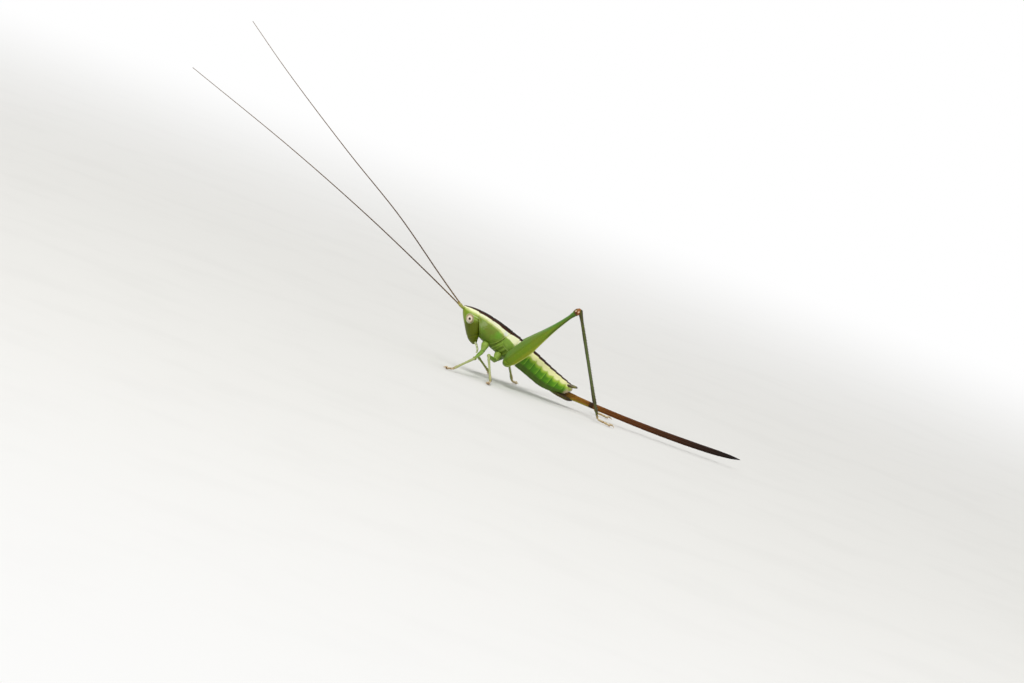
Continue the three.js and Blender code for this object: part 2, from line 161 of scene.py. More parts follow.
def read_rows(rows: Rows, at: Array) -> Array:
    """Reads a smooth curve through rows of numbers.

    Args:
        rows: the rows, whose first column rises.
        at: the values of that column to read at. Beyond the rows, the end rows hold.

    Returns:
        An array for each other column.
    """
    stops, *columns = np.array(rows, float).T
    at = np.clip(np.asarray(at, float), stops[0], stops[-1])
    gap = np.clip(np.searchsorted(stops, at, side="right") - 1, 0, len(stops) - 2)
    width = stops[gap + 1] - stops[gap]
    share = (at - stops[gap]) / width
    read = []
    for column in columns:
        slope = np.gradient(column, stops)
        ends = slope[gap] * width, slope[gap + 1] * width
        read.append(hermite(share, column[gap], column[gap + 1], *ends))
    return np.stack(read)


def curve_through(points: Rows | Array, steps: int) -> Array:
    """A centripetal Catmull-Rom curve.

    Args:
        points: the points it passes.
        steps: how many points to return.

    Returns:
        The curve's points, evenly spaced.
    """
    knots = np.array(points, float)
    knots = np.vstack([2 * knots[0] - knots[1], knots, 2 * knots[-1] - knots[-2]])
    gaps = np.linalg.norm(np.diff(knots, axis=0), axis=1) ** 0.5
    share = np.linspace(0, 1, 60, endpoint=False)[:, None]
    stretches = []
    for k in range(1, len(knots) - 2):
        before, here, after = gaps[k - 1 : k + 2]
        step = (knots[k + 1] - knots[k]) / here
        leave = (knots[k] - knots[k - 1]) / before - (knots[k + 1] - knots[k - 1]) / (before + here)
        arrive = (knots[k + 2] - knots[k + 1]) / after - (knots[k + 2] - knots[k]) / (here + after)
        ends = (leave + step) * here, (arrive + step) * here
        stretches.append(hermite(share, knots[k], knots[k + 1], *ends))
    return evenly(np.vstack([*stretches, knots[-2]]), steps)


def soft_higher(one: Array, other: Array, blend: float) -> Array:
    """The higher of two fields, rounded where they are less than blend apart."""
    overlap = np.maximum(blend - np.abs(one - other), 0)
    return np.maximum(one, other) + overlap**2 / (4 * blend)


# Surfaces


@dataclass
class Skin:
    """A closed surface in the making, in the floor frame.

    Its fields are values at its points, and finish is the number of the finish that it wears.
    """

    points: Array
    quads: Array
    triangles: Array
    fields: Fields
    finish: int = 0

    def facing_out(self) -> "Skin":
        """Turns the faces if they point inwards.

        Returns:
            This skin, with its faces outwards.
        """
        middle = self.points.mean(axis=0)
        halves = self.quads[:, [0, 1, 2]], self.quads[:, [0, 2, 3]]
        a, b, c = np.moveaxis(self.points[np.concatenate([*halves, self.triangles])] - middle, 1, 0)
        if np.sum(a * np.cross(b, c)) < 0:
            self.quads, self.triangles = self.quads[:, ::-1], self.triangles[:, ::-1]
        return self


def loft(rings: Array, fields: Fields) -> Skin:
    """A closed surface through rings of points, with a pole at each end.

    Args:
        rings: points by ring and place in the ring.
        fields: values, alike.

    Returns:
        The surface.
    """
    count, sides = rings.shape[:2]
    corner = np.arange(count * sides).reshape(count, sides)
    ahead = np.roll(corner, -1, axis=1)
    quads = np.stack([corner[:-1], ahead[:-1], ahead[1:], corner[1:]], axis=-1).reshape(-1, 4)
    front, back = (np.full(sides, count * sides + k) for k in range(2))
    front = np.stack([ahead[0], corner[0], front], axis=-1)
    back = np.stack([corner[-1], ahead[-1], back], axis=-1)
    grids = {"": rings} | fields
    for name, grid in grids.items():
        ends = np.stack([grid[0].mean(axis=0), grid[-1].mean(axis=0)])
        grids[name] = np.concatenate([grid.reshape(count * sides, *grid.shape[2:]), ends])
    points = grids.pop("")
    return Skin(points, quads, np.concatenate([front, back]), grids).facing_out()


def shell(outer: Array, inner: Array, fields: Fields) -> Skin:
    """A thin closed plate between two sheets of points.

    Args:
        outer: the outer sheet, by row and column.
        inner: the inner sheet, alike.
        fields: values by row and column, for both sheets.

    Returns:
        The surface.
    """
    shape = outer.shape[:2]
    count = math.prod(shape)
    out = np.arange(count).reshape(shape)
    over = np.stack([out[:-1, :-1], out[:-1, 1:], out[1:, 1:], out[1:, :-1]], axis=-1).reshape(-1, 4)
    under = np.roll(over[:, ::-1], 1, axis=1) + count
    rim = np.concatenate([out[0, :-1], out[:-1, -1], out[-1, :0:-1], out[:0:-1, 0]])
    ahead = np.roll(rim, -1)
    edge = np.stack([ahead, rim, rim + count, ahead + count], axis=-1)
    points = np.concatenate([outer.reshape(-1, 3), inner.reshape(-1, 3)])
    values = {name: np.tile(v.reshape(count, -1), (2, 1)).squeeze() for name, v in fields.items()}
    quads = np.concatenate([over, under, edge])
    return Skin(points, quads, np.zeros((0, 3), int), values).facing_out()


def swept(
    route: Array, side: Array, depth: Array, width: Array, sides: int, lift: Array | float = 0.0
) -> Skin:
    """A rounded limb along a route.

    Args:
        route: points along its middle.
        side: the direction across the plane that it bends in.
        depth: half its depth at each point, in that plane.
        width: half its width at each point.
        sides: how many points each ring has.
        lift: how far the surface stands out, by ring and place in the ring.

    Returns:
        The surface. Its place runs along, up and across, and its field share from 0 to 1.
    """
    tangent = unit(np.gradient(route, axis=0))
    up = unit(np.cross(tangent, side))
    across = np.cross(up, tangent)
    angle, along = around(sides), lengths(route)
    reach = np.broadcast_to(np.asarray(lift, float), (len(route), sides))
    level = (depth[:, None] + reach) * np.sin(angle)
    aside = (width[:, None] + reach) * np.cos(angle)
    rings = route[:, None] + up[:, None] * level[..., None] + across[:, None] * aside[..., None]
    spread = np.broadcast_to(along[:, None], level.shape)
    place = np.stack([spread, level, aside], axis=-1)
    return loft(rings, {"place": place, "share": spread / along[-1]})


def blank(points: Array, **values: Array | float) -> Fields:
    """The fields of a body surface outside all markings, and others that are given."""
    values = {"stripe": -1.0, "cream": -1.0, "edge": 1.0, **values}
    return {"place": points} | {k: np.broadcast_to(v, points.shape[:-1]) for k, v in values.items()}


# Pieces


def in_scene(name: str, data: Any) -> bpy.types.Object:
    """Puts a new object in the scene.

    Args:
        name: its name.
        data: its mesh, lamp or lens.

    Returns:
        The object.
    """
    made = bpy.data.objects.new(name, data)
    bpy.context.scene.collection.objects.link(made)
    return made


def set_field(mesh: Mesh, name: str, values: Array) -> None:
    """Gives a mesh a field.

    Args:
        mesh: the mesh.
        name: the field's name.
        values: a number or a vector for each point.
    """
    kind, key = ("FLOAT", "value") if values.ndim == 1 else ("FLOAT_VECTOR", "vector")
    made = mesh.attributes.get(name) or mesh.attributes.new(name, kind, "POINT")
    made.data.foreach_set(key, values.astype(np.float32).ravel())


def get_vectors(items: Any, key: str) -> Array:
    """Reads a vector from each of a mesh's items.

    Args:
        items: the items, such as its points.
        key: the vector's name there.

    Returns:
        The vectors, in rows.
    """
    read = np.zeros(len(items) * 3, np.float32)
    items.foreach_get(key, read)
    return read.reshape(-1, 3).astype(float)


@dataclass(frozen=True)
class Maker:
    """Turns skins and meshes into finished pieces, in the frame of the solids.

    The shift takes x and y from the floor frame to the solids' frame, in millimetres.
    """

    shift: Span

    def in_metres(self, points: Array) -> Array:
        """Points of the floor frame in the frame of the solids."""
        return (np.asarray(points, float) + np.array([*self.shift, 0.0])) * MM

    def draft(self, name: str, skins: Sequence[Skin]) -> Mesh:
        """One smooth mesh of several skins, in millimetres in the floor frame.

        Args:
            name: its name.
            skins: the skins. A field that one of them lacks is 0 on it.

        Returns:
            The mesh.
        """
        faces, numbers, start = [], [], 0
        for skin in skins:
            faces += (skin.quads + start).tolist() + (skin.triangles + start).tolist()
            numbers += [skin.finish] * (len(faces) - len(numbers))
            start += len(skin.points)
        made = bpy.data.meshes.new(name)
        made.from_pydata(np.concatenate([skin.points for skin in skins]).tolist(), [], faces)
        made.polygons.foreach_set("material_index", numbers)
        made.polygons.foreach_set("use_smooth", [True] * len(faces))
        for label in sorted({label for skin in skins for label in skin.fields}):
            shape = next(skin.fields[label].shape[1:] for skin in skins if label in skin.fields)
            values = [skin.fields.get(label, np.zeros((len(skin.points), *shape))) for skin in skins]
            set_field(made, label, np.concatenate(values))
        return made

    def piece(
        self, name: str, shape: Mesh | Sequence[Skin], finishes: Sequence[Material], slot: str, *nodes: str
    ) -> None:
        """Makes a finished piece that rides on the body.

        Args:
            name: its name.
            shape: its skins or its mesh, in millimetres in the floor frame.
            finishes: its materials, in the order of the skins' finish numbers.
            slot: its slot in the record. It is not used.
            nodes: the solids that it replaces.
        """
        mesh = shape if isinstance(shape, Mesh) else self.draft(name, shape)
        placed = self.in_metres(get_vectors(mesh.vertices, "co"))
        mesh.vertices.foreach_set("co", placed.astype(np.float32).ravel())
        mesh.update()
        mesh.materials.clear()
        for finish in finishes:
            mesh.materials.append(finish)
        made = in_scene(name, mesh)
        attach(made, "root")
        if nodes:
            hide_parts(*nodes)
        log.info("%s: %d faces, for %s", name, len(mesh.polygons), ", ".join(nodes) or "no solid")


@dataclass(frozen=True)
class Part(ABC):
    """A sub-assembly, which builds its meshes and dresses them."""

    maker: Maker

    @abstractmethod
    def build(self) -> None:
        """Makes the part's pieces."""


# Nodes


def linear(colour: str) -> tuple[float, ...]:
    """An sRGB hex colour as linear numbers, with an alpha of 1."""
    parts = [int(colour[k : k + 2], 16) / 255 for k in (1, 3, 5)]
    return (*(p / 12.92 if p <= 0.04045 else ((p + 0.055) / 1.055) ** 2.4 for p in parts), 1.0)


def connect(tree: NodeTree, node: Node, inputs: Mapping[Any, Any]) -> None:
    """Links and sets a node's inputs.

    Args:
        tree: the tree.
        node: the node.
        inputs: by the input's name or number, its value or what it links to: a socket, or a node
            that stands for its first output.
    """
    for key, value in inputs.items():
        if isinstance(value, Node):
            value = value.outputs[0]
        if isinstance(value, NodeSocket):
            tree.links.new(value, node.inputs[key])
        else:
            node.inputs[key].default_value = value


def add_node(tree: NodeTree, kind: str, inputs: Mapping[Any, Any] | None = None, **settings: Any) -> Node:
    """Adds a node with its settings and links.

    Args:
        tree: the tree.
        kind: the node's type.
        inputs: its inputs, as connect takes them.
        settings: its own properties.

    Returns:
        The node.
    """
    node = tree.nodes.new(kind)
    for key, value in settings.items():
        setattr(node, key, value)
    connect(tree, node, inputs or {})
    return node


# Growing with geometry nodes


def new_tree(name: str, **inputs: str) -> tuple[NodeTree, Any]:
    """A geometry node tree with named inputs.

    Args:
        name: the tree's name.
        inputs: each input's kind of socket, such as Float.

    Returns:
        The tree, and the sockets where its inputs arrive.
    """
    tree = bpy.data.node_groups.new(name, "GeometryNodeTree")
    for label, kind in inputs.items():
        tree.interface.new_socket(label, in_out="INPUT", socket_type=f"NodeSocket{kind}")
    tree.interface.new_socket("Geometry", in_out="OUTPUT", socket_type="NodeSocketGeometry")
    return tree, add_node(tree, "NodeGroupInput").outputs


def end_tree(tree: NodeTree, grown: Link, finish: Link) -> None:
    """Ends a tree: instances are made real, note their place and get their material.

    Args:
        tree: the tree.
        grown: the geometry.
        finish: the material.
    """
    real = add_node(tree, "GeometryNodeRealizeInstances", {0: grown})
    inputs = {"Geometry": real, "Name": "place", "Value": add_node(tree, "GeometryNodeInputPosition")}
    noted = add_node(tree, "GeometryNodeStoreNamedAttribute", inputs, data_type="FLOAT_VECTOR")
    inputs = {"Geometry": noted, "Material": finish}
    add_node(tree, "NodeGroupOutput", {0: add_node(tree, "GeometryNodeSetMaterial", inputs)})


def plant(tree: NodeTree, points: Link, way: Link, inputs: Mapping[str, Any], finish: Link) -> None:
    """Ends a tree by standing an instance on each point.

    Args:
        tree: the tree.
        points: the points.
        way: the direction that each instance's Z turns to.
        inputs: what to stand there, as Instance, and its Scale.
        finish: the material.
    """
    turn = add_node(tree, "FunctionNodeAlignRotationToVector", {"Vector": way}, axis="Z")
    inputs = {"Points": points, "Rotation": turn, **inputs}
    end_tree(tree, add_node(tree, "GeometryNodeInstanceOnPoints", inputs), finish)


def marked_cone(tree: NodeTree, label: str, inputs: Mapping[str, Any]) -> Node:
    """A cone of height 1 along Z whose points note their height.

    Args:
        tree: the tree.
        label: the field that they note it in.
        inputs: the cone's other sizes.

    Returns:
        The last node.
    """
    cone = add_node(tree, "GeometryNodeMeshCone", {"Side Segments": 3, "Depth": 1.0, **inputs})
    spot = add_node(tree, "GeometryNodeInputPosition")
    height = add_node(tree, "ShaderNodeSeparateXYZ", {0: spot}).outputs["Z"]
    inputs = {"Geometry": cone, "Name": label, "Value": height}
    return add_node(tree, "GeometryNodeStoreNamedAttribute", inputs, data_type="FLOAT")


def grow_mesh(name: str, tree: NodeTree, values: Sequence[Any], host: Mesh | None = None) -> Mesh:
    """Runs a geometry node tree and keeps what it makes as a plain mesh.

    Args:
        name: the mesh's name.
        tree: the tree.
        values: the tree's inputs other than geometry, in their order.
        host: the mesh that the tree works on, if it takes one.

    Returns:
        The mesh.
    """
    grower = in_scene(f"{name}_grower", host or bpy.data.meshes.new(f"{name}_host"))
    modifier = grower.modifiers.new("grow", "NODES")
    modifier.node_group = tree
    sockets = [socket for socket in tree.interface.items_tree if socket.in_out == "INPUT"]
    sizes = [socket for socket in sockets if socket.socket_type != "NodeSocketGeometry"]
    for socket, value in zip(sizes, values):
        modifier[socket.identifier] = value
    evaluated = grower.evaluated_get(bpy.context.evaluated_depsgraph_get())
    grown = bpy.data.meshes.new_from_object(evaluated)
    grown.name = name
    grower.modifiers.remove(modifier)
    bpy.data.objects.remove(grower)
    return grown


def spine_tree() -> NodeTree:
    """Geometry nodes that stand a spine on each point, by its fields way and length.

    Returns:
        The tree.
    """
    tree, given = new_tree("spines", Points="Geometry", Sides="Int", Thickness="Float", Finish="Material")
    spine = marked_cone(tree, "share", {"Vertices": given["Sides"], "Radius Bottom": 1.0})
    own = "GeometryNodeInputNamedAttribute"
    way = add_node(tree, own, {"Name": "way"}, data_type="FLOAT_VECTOR")
    length = add_node(tree, own, {"Name": "length"}, data_type="FLOAT")
    width = add_node(tree, "ShaderNodeMath", {0: length, 1: given["Thickness"]}, operation="MULTIPLY")
    size = add_node(tree, "ShaderNodeCombineXYZ", {"X": width, "Y": width, "Z": length})
    plant(tree, given["Points"], way, {"Instance": spine, "Scale": size}, given["Finish"])
    return tree


def hair_tree() -> NodeTree:
    """Geometry nodes that strew short hairs over a limb, leaning the way its field lie points.

    Returns:
        The tree.
    """
    tree, given = new_tree(
        "hairs", Limb="Geometry", Density="Float", Seed="Int", Length="Float", Thickness="Float",
        Finish="Material",
    )
    inputs = {"Mesh": given["Limb"], "Density": given["Density"], "Seed": given["Seed"]}
    roots = add_node(tree, "GeometryNodeDistributePointsOnFaces", inputs)
    inputs = {"Geometry": roots, "Name": "root", "Value": add_node(tree, "GeometryNodeInputPosition")}
    noted = add_node(tree, "GeometryNodeStoreNamedAttribute", inputs, data_type="FLOAT_VECTOR")
    own = "GeometryNodeInputNamedAttribute"
    lie = add_node(tree, own, {"Name": "lie"}, data_type="FLOAT_VECTOR")
    inputs = {0: roots.outputs["Normal"], 1: lie}
    way = add_node(tree, "ShaderNodeVectorMath", inputs, operation="ADD")
    inputs = {"Vertices": 4, "Radius Bottom": given["Thickness"], "Depth": given["Length"]}
    hair = add_node(tree, "GeometryNodeMeshCone", inputs)
    inputs = {2: 0.55, 3: 1.15, "Seed": given["Seed"]}
    growth = add_node(tree, "FunctionNodeRandomValue", inputs, data_type="FLOAT").outputs["Value"]
    plant(tree, noted, way, {"Instance": hair, "Scale": growth}, given["Finish"])
    return tree


def thread_tree() -> NodeTree:
    """Geometry nodes that string tapering rings along a route, as in a feeler's thread.

    Returns:
        The tree.
    """
    tree, given = new_tree(
        "thread", Route="Geometry", Rings="Int", Root_radius="Float", Tip_radius="Float",
        Ring_length="Float", Finish="Material",
    )
    line = add_node(tree, "GeometryNodeMeshToCurve", {"Mesh": given["Route"]})
    inputs = {"Curve": line, "Count": given["Rings"]}
    joints = add_node(tree, "GeometryNodeCurveToPoints", inputs, mode="COUNT")
    inputs = {0: add_node(tree, "GeometryNodeInputIndex"), 1: given["Rings"]}
    share = add_node(tree, "ShaderNodeMath", inputs, operation="DIVIDE")
    inputs = {"Geometry": joints, "Name": "share", "Value": share}
    noted = add_node(tree, "GeometryNodeStoreNamedAttribute", inputs, data_type="FLOAT")
    ring = marked_cone(tree, "collar", {"Vertices": 12, "Radius Top": 1.0, "Radius Bottom": 0.8})
    inputs = {"Value": share, "To Min": given["Root_radius"], "To Max": given["Tip_radius"]}
    radius = add_node(tree, "ShaderNodeMapRange", inputs)
    inputs = {"X": radius, "Y": radius, "Z": given["Ring_length"]}
    inputs = {"Instance": ring, "Scale": add_node(tree, "ShaderNodeCombineXYZ", inputs)}
    plant(tree, noted, joints.outputs["Tangent"], inputs, given["Finish"])
    return tree


# Finishes


@dataclass(frozen=True)
class Layer:
    """A colour laid where a field passes from one value to another.

    The label names a field of the piece, X, Y or Z of its place, or cloud for noise from 0 to 1.
    The colour begins to show at one value and has its full strength at the other, which may be
    the lesser. Both count from the centre, if it has one. Waves of its size, in millimetres, shift
    the field by up to its reach, so that the edges aren't ruled lines.
    """

    colour: str
    label: str
    begins: float
    full: float
    strength: float = 1.0
    size: float = 1.0
    reach: float = 0.0
    centre: float | None = None

    def value(self, tree: NodeTree, place: Link) -> Link:
        """What the layer follows.

        Args:
            tree: the material's nodes.
            place: the piece's place.

        Returns:
            The clouds, or the field with its waves.
        """
        cloudy = self.label == "cloud"
        inputs = {"Vector": place, "Scale": 1 / self.size, "Detail": 3.0 if cloudy else 2.0}
        if cloudy:
            return add_node(tree, "ShaderNodeTexNoise", inputs)
        if self.label in "XYZ":
            value = add_node(tree, "ShaderNodeSeparateXYZ", {0: place}).outputs[self.label]
        else:
            value = add_node(tree, "ShaderNodeAttribute", attribute_name=self.label).outputs["Fac"]
        if self.reach:
            inputs = {0: add_node(tree, "ShaderNodeTexNoise", inputs), 1: 2 * self.reach, 2: -self.reach}
            swing = add_node(tree, "ShaderNodeMath", inputs, operation="MULTIPLY_ADD")
            value = add_node(tree, "ShaderNodeMath", {0: value, 1: swing}, operation="ADD")
        if self.centre is not None:
            gap = add_node(tree, "ShaderNodeMath", {0: value, 1: self.centre}, operation="SUBTRACT")
            value = add_node(tree, "ShaderNodeMath", {0: gap}, operation="ABSOLUTE")
        return value

    def laid(self, tree: NodeTree, place: Link, colour: Any) -> NodeSocket:
        """Lays the colour over another one.

        Args:
            tree: the material's nodes.
            place: the piece's place.
            colour: the colour under it.

        Returns:
            Both together.
        """
        inputs = {"Value": self.value(tree, place), "To Max": self.strength}
        inputs |= {"From Min": self.begins, "From Max": self.full}
        cover = add_node(tree, "ShaderNodeMapRange", inputs, interpolation_type="SMOOTHSTEP")
        inputs = {0: cover, 6: colour, 7: linear(self.colour)}
        return add_node(tree, "ShaderNodeMix", inputs, data_type="RGBA").outputs[2]


def cloud(colour: str, size: float, strength: float) -> Layer:
    """Cloudy patches of a colour, about that many millimetres across."""
    return Layer(colour, "cloud", 0.45, 0.7, strength, size)


def band(colour: str, label: str, centre: float, half: float, strength: float, *wave: float) -> Layer:
    """A soft band of colour, where a field is less than half from its centre."""
    return replace(Layer(colour, label, half, 0.2 * half, strength, *wave), centre=centre)


@dataclass(frozen=True)
class Finish(ABC):
    """What a surface is made of: the colour of its ground, and marks that only it has."""

    name: str
    ground: str
    marks: tuple[Layer, ...] = ()

    def layers(self) -> tuple[Layer, ...]:
        """The layers over the ground, from the lowest."""
        return self.marks

    @abstractmethod
    def even(self) -> dict[str, Any]:
        """The shader's inputs that are the same all over."""

    def uneven(self, tree: NodeTree, place: Link) -> dict[str, Link]:
        """The shader's inputs that change over the surface, apart from the colour."""
        return {}

    def build(self) -> Material:
        """Makes it.

        Returns:
            The material.
        """
        material = bpy.data.materials.new(self.name)
        material.use_nodes = True
        tree = material.node_tree
        shader = tree.nodes["Principled BSDF"]
        place = add_node(tree, "ShaderNodeAttribute", attribute_name="place").outputs["Vector"]
        colour: Any = linear(self.ground)
        for layer in self.layers():
            colour = layer.laid(tree, place, colour)
        connect(tree, shader, self.even())
        connect(tree, shader, self.uneven(tree, place) | {"Base Color": colour})
        return material


@dataclass(frozen=True)
class Cuticle(Finish):
    """Living insect cuticle: thin sclerotised chitin, waxy and slightly see-through.

    It gives a satin gloss, soft light inside the thin parts, and a fine grain of pits and
    wrinkles. The real grain is about 0.01 mm across. It is drawn coarser, so that it shows.
    """

    roughness: float = 0.45
    gloss: float = 0.22
    wax: float = 0.0
    glow: float = 0.18
    glow_depth: float = 0.35
    pit_size: float = 0.05
    pit_depth: float = 0.004
    wrinkle_size: float = 0.22
    wrinkle_depth: float = 0.02

    def even(self) -> dict[str, Any]:
        """Chitin's index of refraction, a waxy coat, and light that sinks in.

        Returns:
            The shader's inputs.
        """
        return {
            "Roughness": self.roughness, "IOR": 1.56, "Specular IOR Level": self.gloss,
            "Coat Weight": self.wax, "Coat Roughness": 0.25, "Subsurface Weight": self.glow,
            "Subsurface Radius": (1.0, 0.9, 0.35), "Subsurface Scale": self.glow_depth * MM,
        }

    def uneven(self, tree: NodeTree, place: Link) -> dict[str, Link]:
        """The pits and wrinkles that all cuticle has.

        Args:
            tree: the material's nodes.
            place: the piece's place.

        Returns:
            What the shader's inputs link to.
        """
        inputs = {"Vector": place, "Scale": 1 / self.wrinkle_size, "Detail": 4.0}
        inputs = {0: add_node(tree, "ShaderNodeTexNoise", inputs), 1: self.wrinkle_depth, 2: 0.0}
        wrinkles = add_node(tree, "ShaderNodeMath", inputs, operation="MULTIPLY_ADD")
        inputs = {"Vector": place, "Scale": 1 / self.pit_size}
        inputs = {0: add_node(tree, "ShaderNodeTexVoronoi", inputs), 1: self.pit_depth, 2: wrinkles}
        relief = add_node(tree, "ShaderNodeMath", inputs, operation="MULTIPLY_ADD")
        inputs = {"Height": relief, "Distance": MM, "Strength": 1.0}
        return {"Normal": add_node(tree, "ShaderNodeBump", inputs)}


@dataclass(frozen=True)
class BodyCuticle(Cuticle):
    """Green body plates, with a dark stripe along the back and a cream band beside it.

    The fields stripe and cream are millimetres inside each marking, and edge is millimetres from
    the plate's free edge, along which the rim colour is a painted highlight. The marks lie under
    the cream band, and over is laid last.
    """

    fresh: str = "#6fa81c"
    low: str = "#5d7614"
    low_at: Span = (-0.9, -1.7)
    cream: str = "#f1f3c6"
    cream_edge: str = "#c9d37a"
    cream_at: Span = (-0.24, 0.16)
    stripe: str = "#150d06"
    stripe_core: str = "#4f2410"
    stripe_gloss: float = 0.02
    # A pale colour along each plate's free edge: a painted highlight.
    rim: str = "#b9cd6e"
    over: tuple[Layer, ...] = ()

    def layers(self) -> tuple[Layer, ...]:
        """Green flanks that darken downwards, then the marks, the cream band and the stripe.

        Returns:
            The layers.
        """
        return (
            cloud(self.fresh, 0.7, 0.75),
            cloud(self.low, 0.3, 0.35),
            Layer(self.low, "Z", *self.low_at, 1.0, 0.5, 0.2),
            *self.marks,
            # Painted highlight along the plates' free edges.
            band(self.rim, "edge", 0.035, 0.06, 0.7),
            Layer(self.cream_edge, "cream", self.cream_at[0], 0.05, 0.9, 0.35, 0.09),
            Layer(self.cream, "cream", -0.04, self.cream_at[1], 1.0, 0.35, 0.09),
            Layer(self.stripe, "stripe", -0.025, 0.035, 1.0, 0.25, 0.022),
            band(self.stripe_core, "stripe", 0.18, 0.16, 0.6, 0.25, 0.022),
            *self.over,
        )

    def uneven(self, tree: NodeTree, place: Link) -> dict[str, Link]:
        """The relief of all cuticle, with a stripe that shines less.

        Args:
            tree: the material's nodes.
            place: the piece's place.

        Returns:
            What the shader's inputs link to.
        """
        stripe = Layer(self.stripe, "stripe", -0.02, 0.03, 1.0, 0.25, 0.022)
        inputs = {"Value": stripe.value(tree, place), "To Min": self.gloss}
        inputs |= {"From Min": stripe.begins, "From Max": stripe.full, "To Max": self.stripe_gloss}
        shine = add_node(tree, "ShaderNodeMapRange", inputs)
        return super().uneven(tree, place) | {"Specular IOR Level": shine}


@dataclass(frozen=True)
class LimbCuticle(Cuticle):
    """The cuticle of a leg, which changes colour along its length.

    The field share runs from 0 at the body end to 1. The place's Y is up, in the plane that the
    limb bends in.
    """

    middle: str = "#7c9a3a"
    tip: str = "#7c9a48"
    fleck: str = "#6b8426"
    back: str = "#93a866"
    back_at: Span = (0.1, 0.3)
    keel: str = "#a3ad45"
    keel_at: Span = (-0.25, -0.45)
    joint: str = "#7c9a48"
    joint_at: Span = (0.93, 0.97)

    def layers(self) -> tuple[Layer, ...]:
        """The colours along the limb, then its back, its keel, its far joint and its marks.

        Returns:
            The layers.
        """
        return (
            Layer(self.middle, "share", 0.15, 0.45),
            Layer(self.tip, "share", 0.55, 0.9),
            cloud(self.fleck, 0.35, 0.35),
            Layer(self.back, "Y", *self.back_at, 0.8, 0.4, 0.05),
            Layer(self.keel, "Y", *self.keel_at, 0.85, 0.4, 0.05),
            Layer(self.joint, "share", *self.joint_at),
            *self.marks,
        )


@dataclass(frozen=True)
class Horn(Cuticle):
    """Hard, dark, tanned cuticle, as on spines, claws, feelers and the ovipositor.

    It shines more than soft cuticle and lets hardly any light in. Its colours follow one another
    along the field share, each full at the share beside it. The ground's share is 0.
    """

    colours: tuple[tuple[float, str], ...] = ()
    fleck: str = "#2a190c"
    roughness: float = 0.38
    wax: float = 0.1
    glow: float = 0.05

    def layers(self) -> tuple[Layer, ...]:
        """The colours along the horn, with darker flecks and then its marks.

        Returns:
            The layers.
        """
        before = (0.0, *(share for share, _ in self.colours))
        along = [Layer(hue, "share", low, high) for low, (high, hue) in zip(before, self.colours)]
        return (*along, cloud(self.fleck, 0.25, 0.3), *self.marks)


@dataclass(frozen=True)
class EyeCornea(Finish):
    """A compound eye: hundreds of clear, hard, domed lenses over pale pigment.

    It gives a bright gloss and a dark spot where the eye looks straight out, in a brown and a
    white ring. The field gaze is the angle from that direction, in radians.
    """

    ground: str = "#d6b89c"
    marks: tuple[Layer, ...] = (
        cloud("#b9a77f", 0.15, 0.5),
        Layer("#a9a266", "gaze", 0.8, 1.05, 0.8, 0.3, 0.04),
        Layer("#dcdfcd", "Z", -1.0, -1.18, 0.85),
        Layer("#f3e9da", "gaze", 0.75, 0.6, 0.9, 0.3, 0.04),
        Layer("#6e3a28", "gaze", 0.37, 0.28, 0.9, 0.3, 0.04),
        Layer("#120805", "gaze", 0.24, 0.17, 1.0, 0.3, 0.04),
    )

    def even(self) -> dict[str, Any]:
        """The gloss of clear chitin lenses.

        Returns:
            The shader's inputs.
        """
        return {
            "Roughness": 0.22, "IOR": 1.56, "Coat Weight": 0.5, "Coat Roughness": 0.08,
            "Subsurface Weight": 0.1, "Subsurface Radius": (1.0, 0.8, 0.7),
            "Subsurface Scale": 0.1 * MM,
        }


@dataclass(frozen=True)
class StudioFloor(Finish):
    """Matt painted board, which the camera sees as pure white far from the insect."""

    ground: str = "#e4e3df"
    marks: tuple[Layer, ...] = (cloud("#dfdeda", 12.0, 0.4),)
    clear_to: float = 50.0
    white_from: float = 420.0

    def even(self) -> dict[str, Any]:
        """A dry, matt surface."""
        return {"Roughness": 0.9, "Specular IOR Level": 0.1}

    def build(self) -> Material:
        """Makes it.

        Returns:
            The material.
        """
        material = super().build()
        tree = material.node_tree
        place = add_node(tree, "ShaderNodeAttribute", attribute_name="place").outputs["Vector"]
        away = add_node(tree, "ShaderNodeVectorMath", {0: place}, operation="LENGTH")
        inputs = {"Value": away.outputs["Value"]}
        inputs |= {"From Min": self.clear_to, "From Max": self.white_from}
        fade = add_node(tree, "ShaderNodeMapRange", inputs, interpolation_type="SMOOTHSTEP")
        inputs = {0: fade, 1: add_node(tree, "ShaderNodeLightPath").outputs["Is Camera Ray"]}
        inputs = {0: add_node(tree, "ShaderNodeMath", inputs, operation="MULTIPLY")}
        inputs[1] = tree.nodes["Principled BSDF"]
        inputs[2] = add_node(tree, "ShaderNodeEmission", {"Color": (1, 1, 1, 1), "Strength": 1.0})
        mix = add_node(tree, "ShaderNodeMixShader", inputs)
        connect(tree, tree.nodes["Material Output"], {"Surface": mix})
        return material


# The trunk


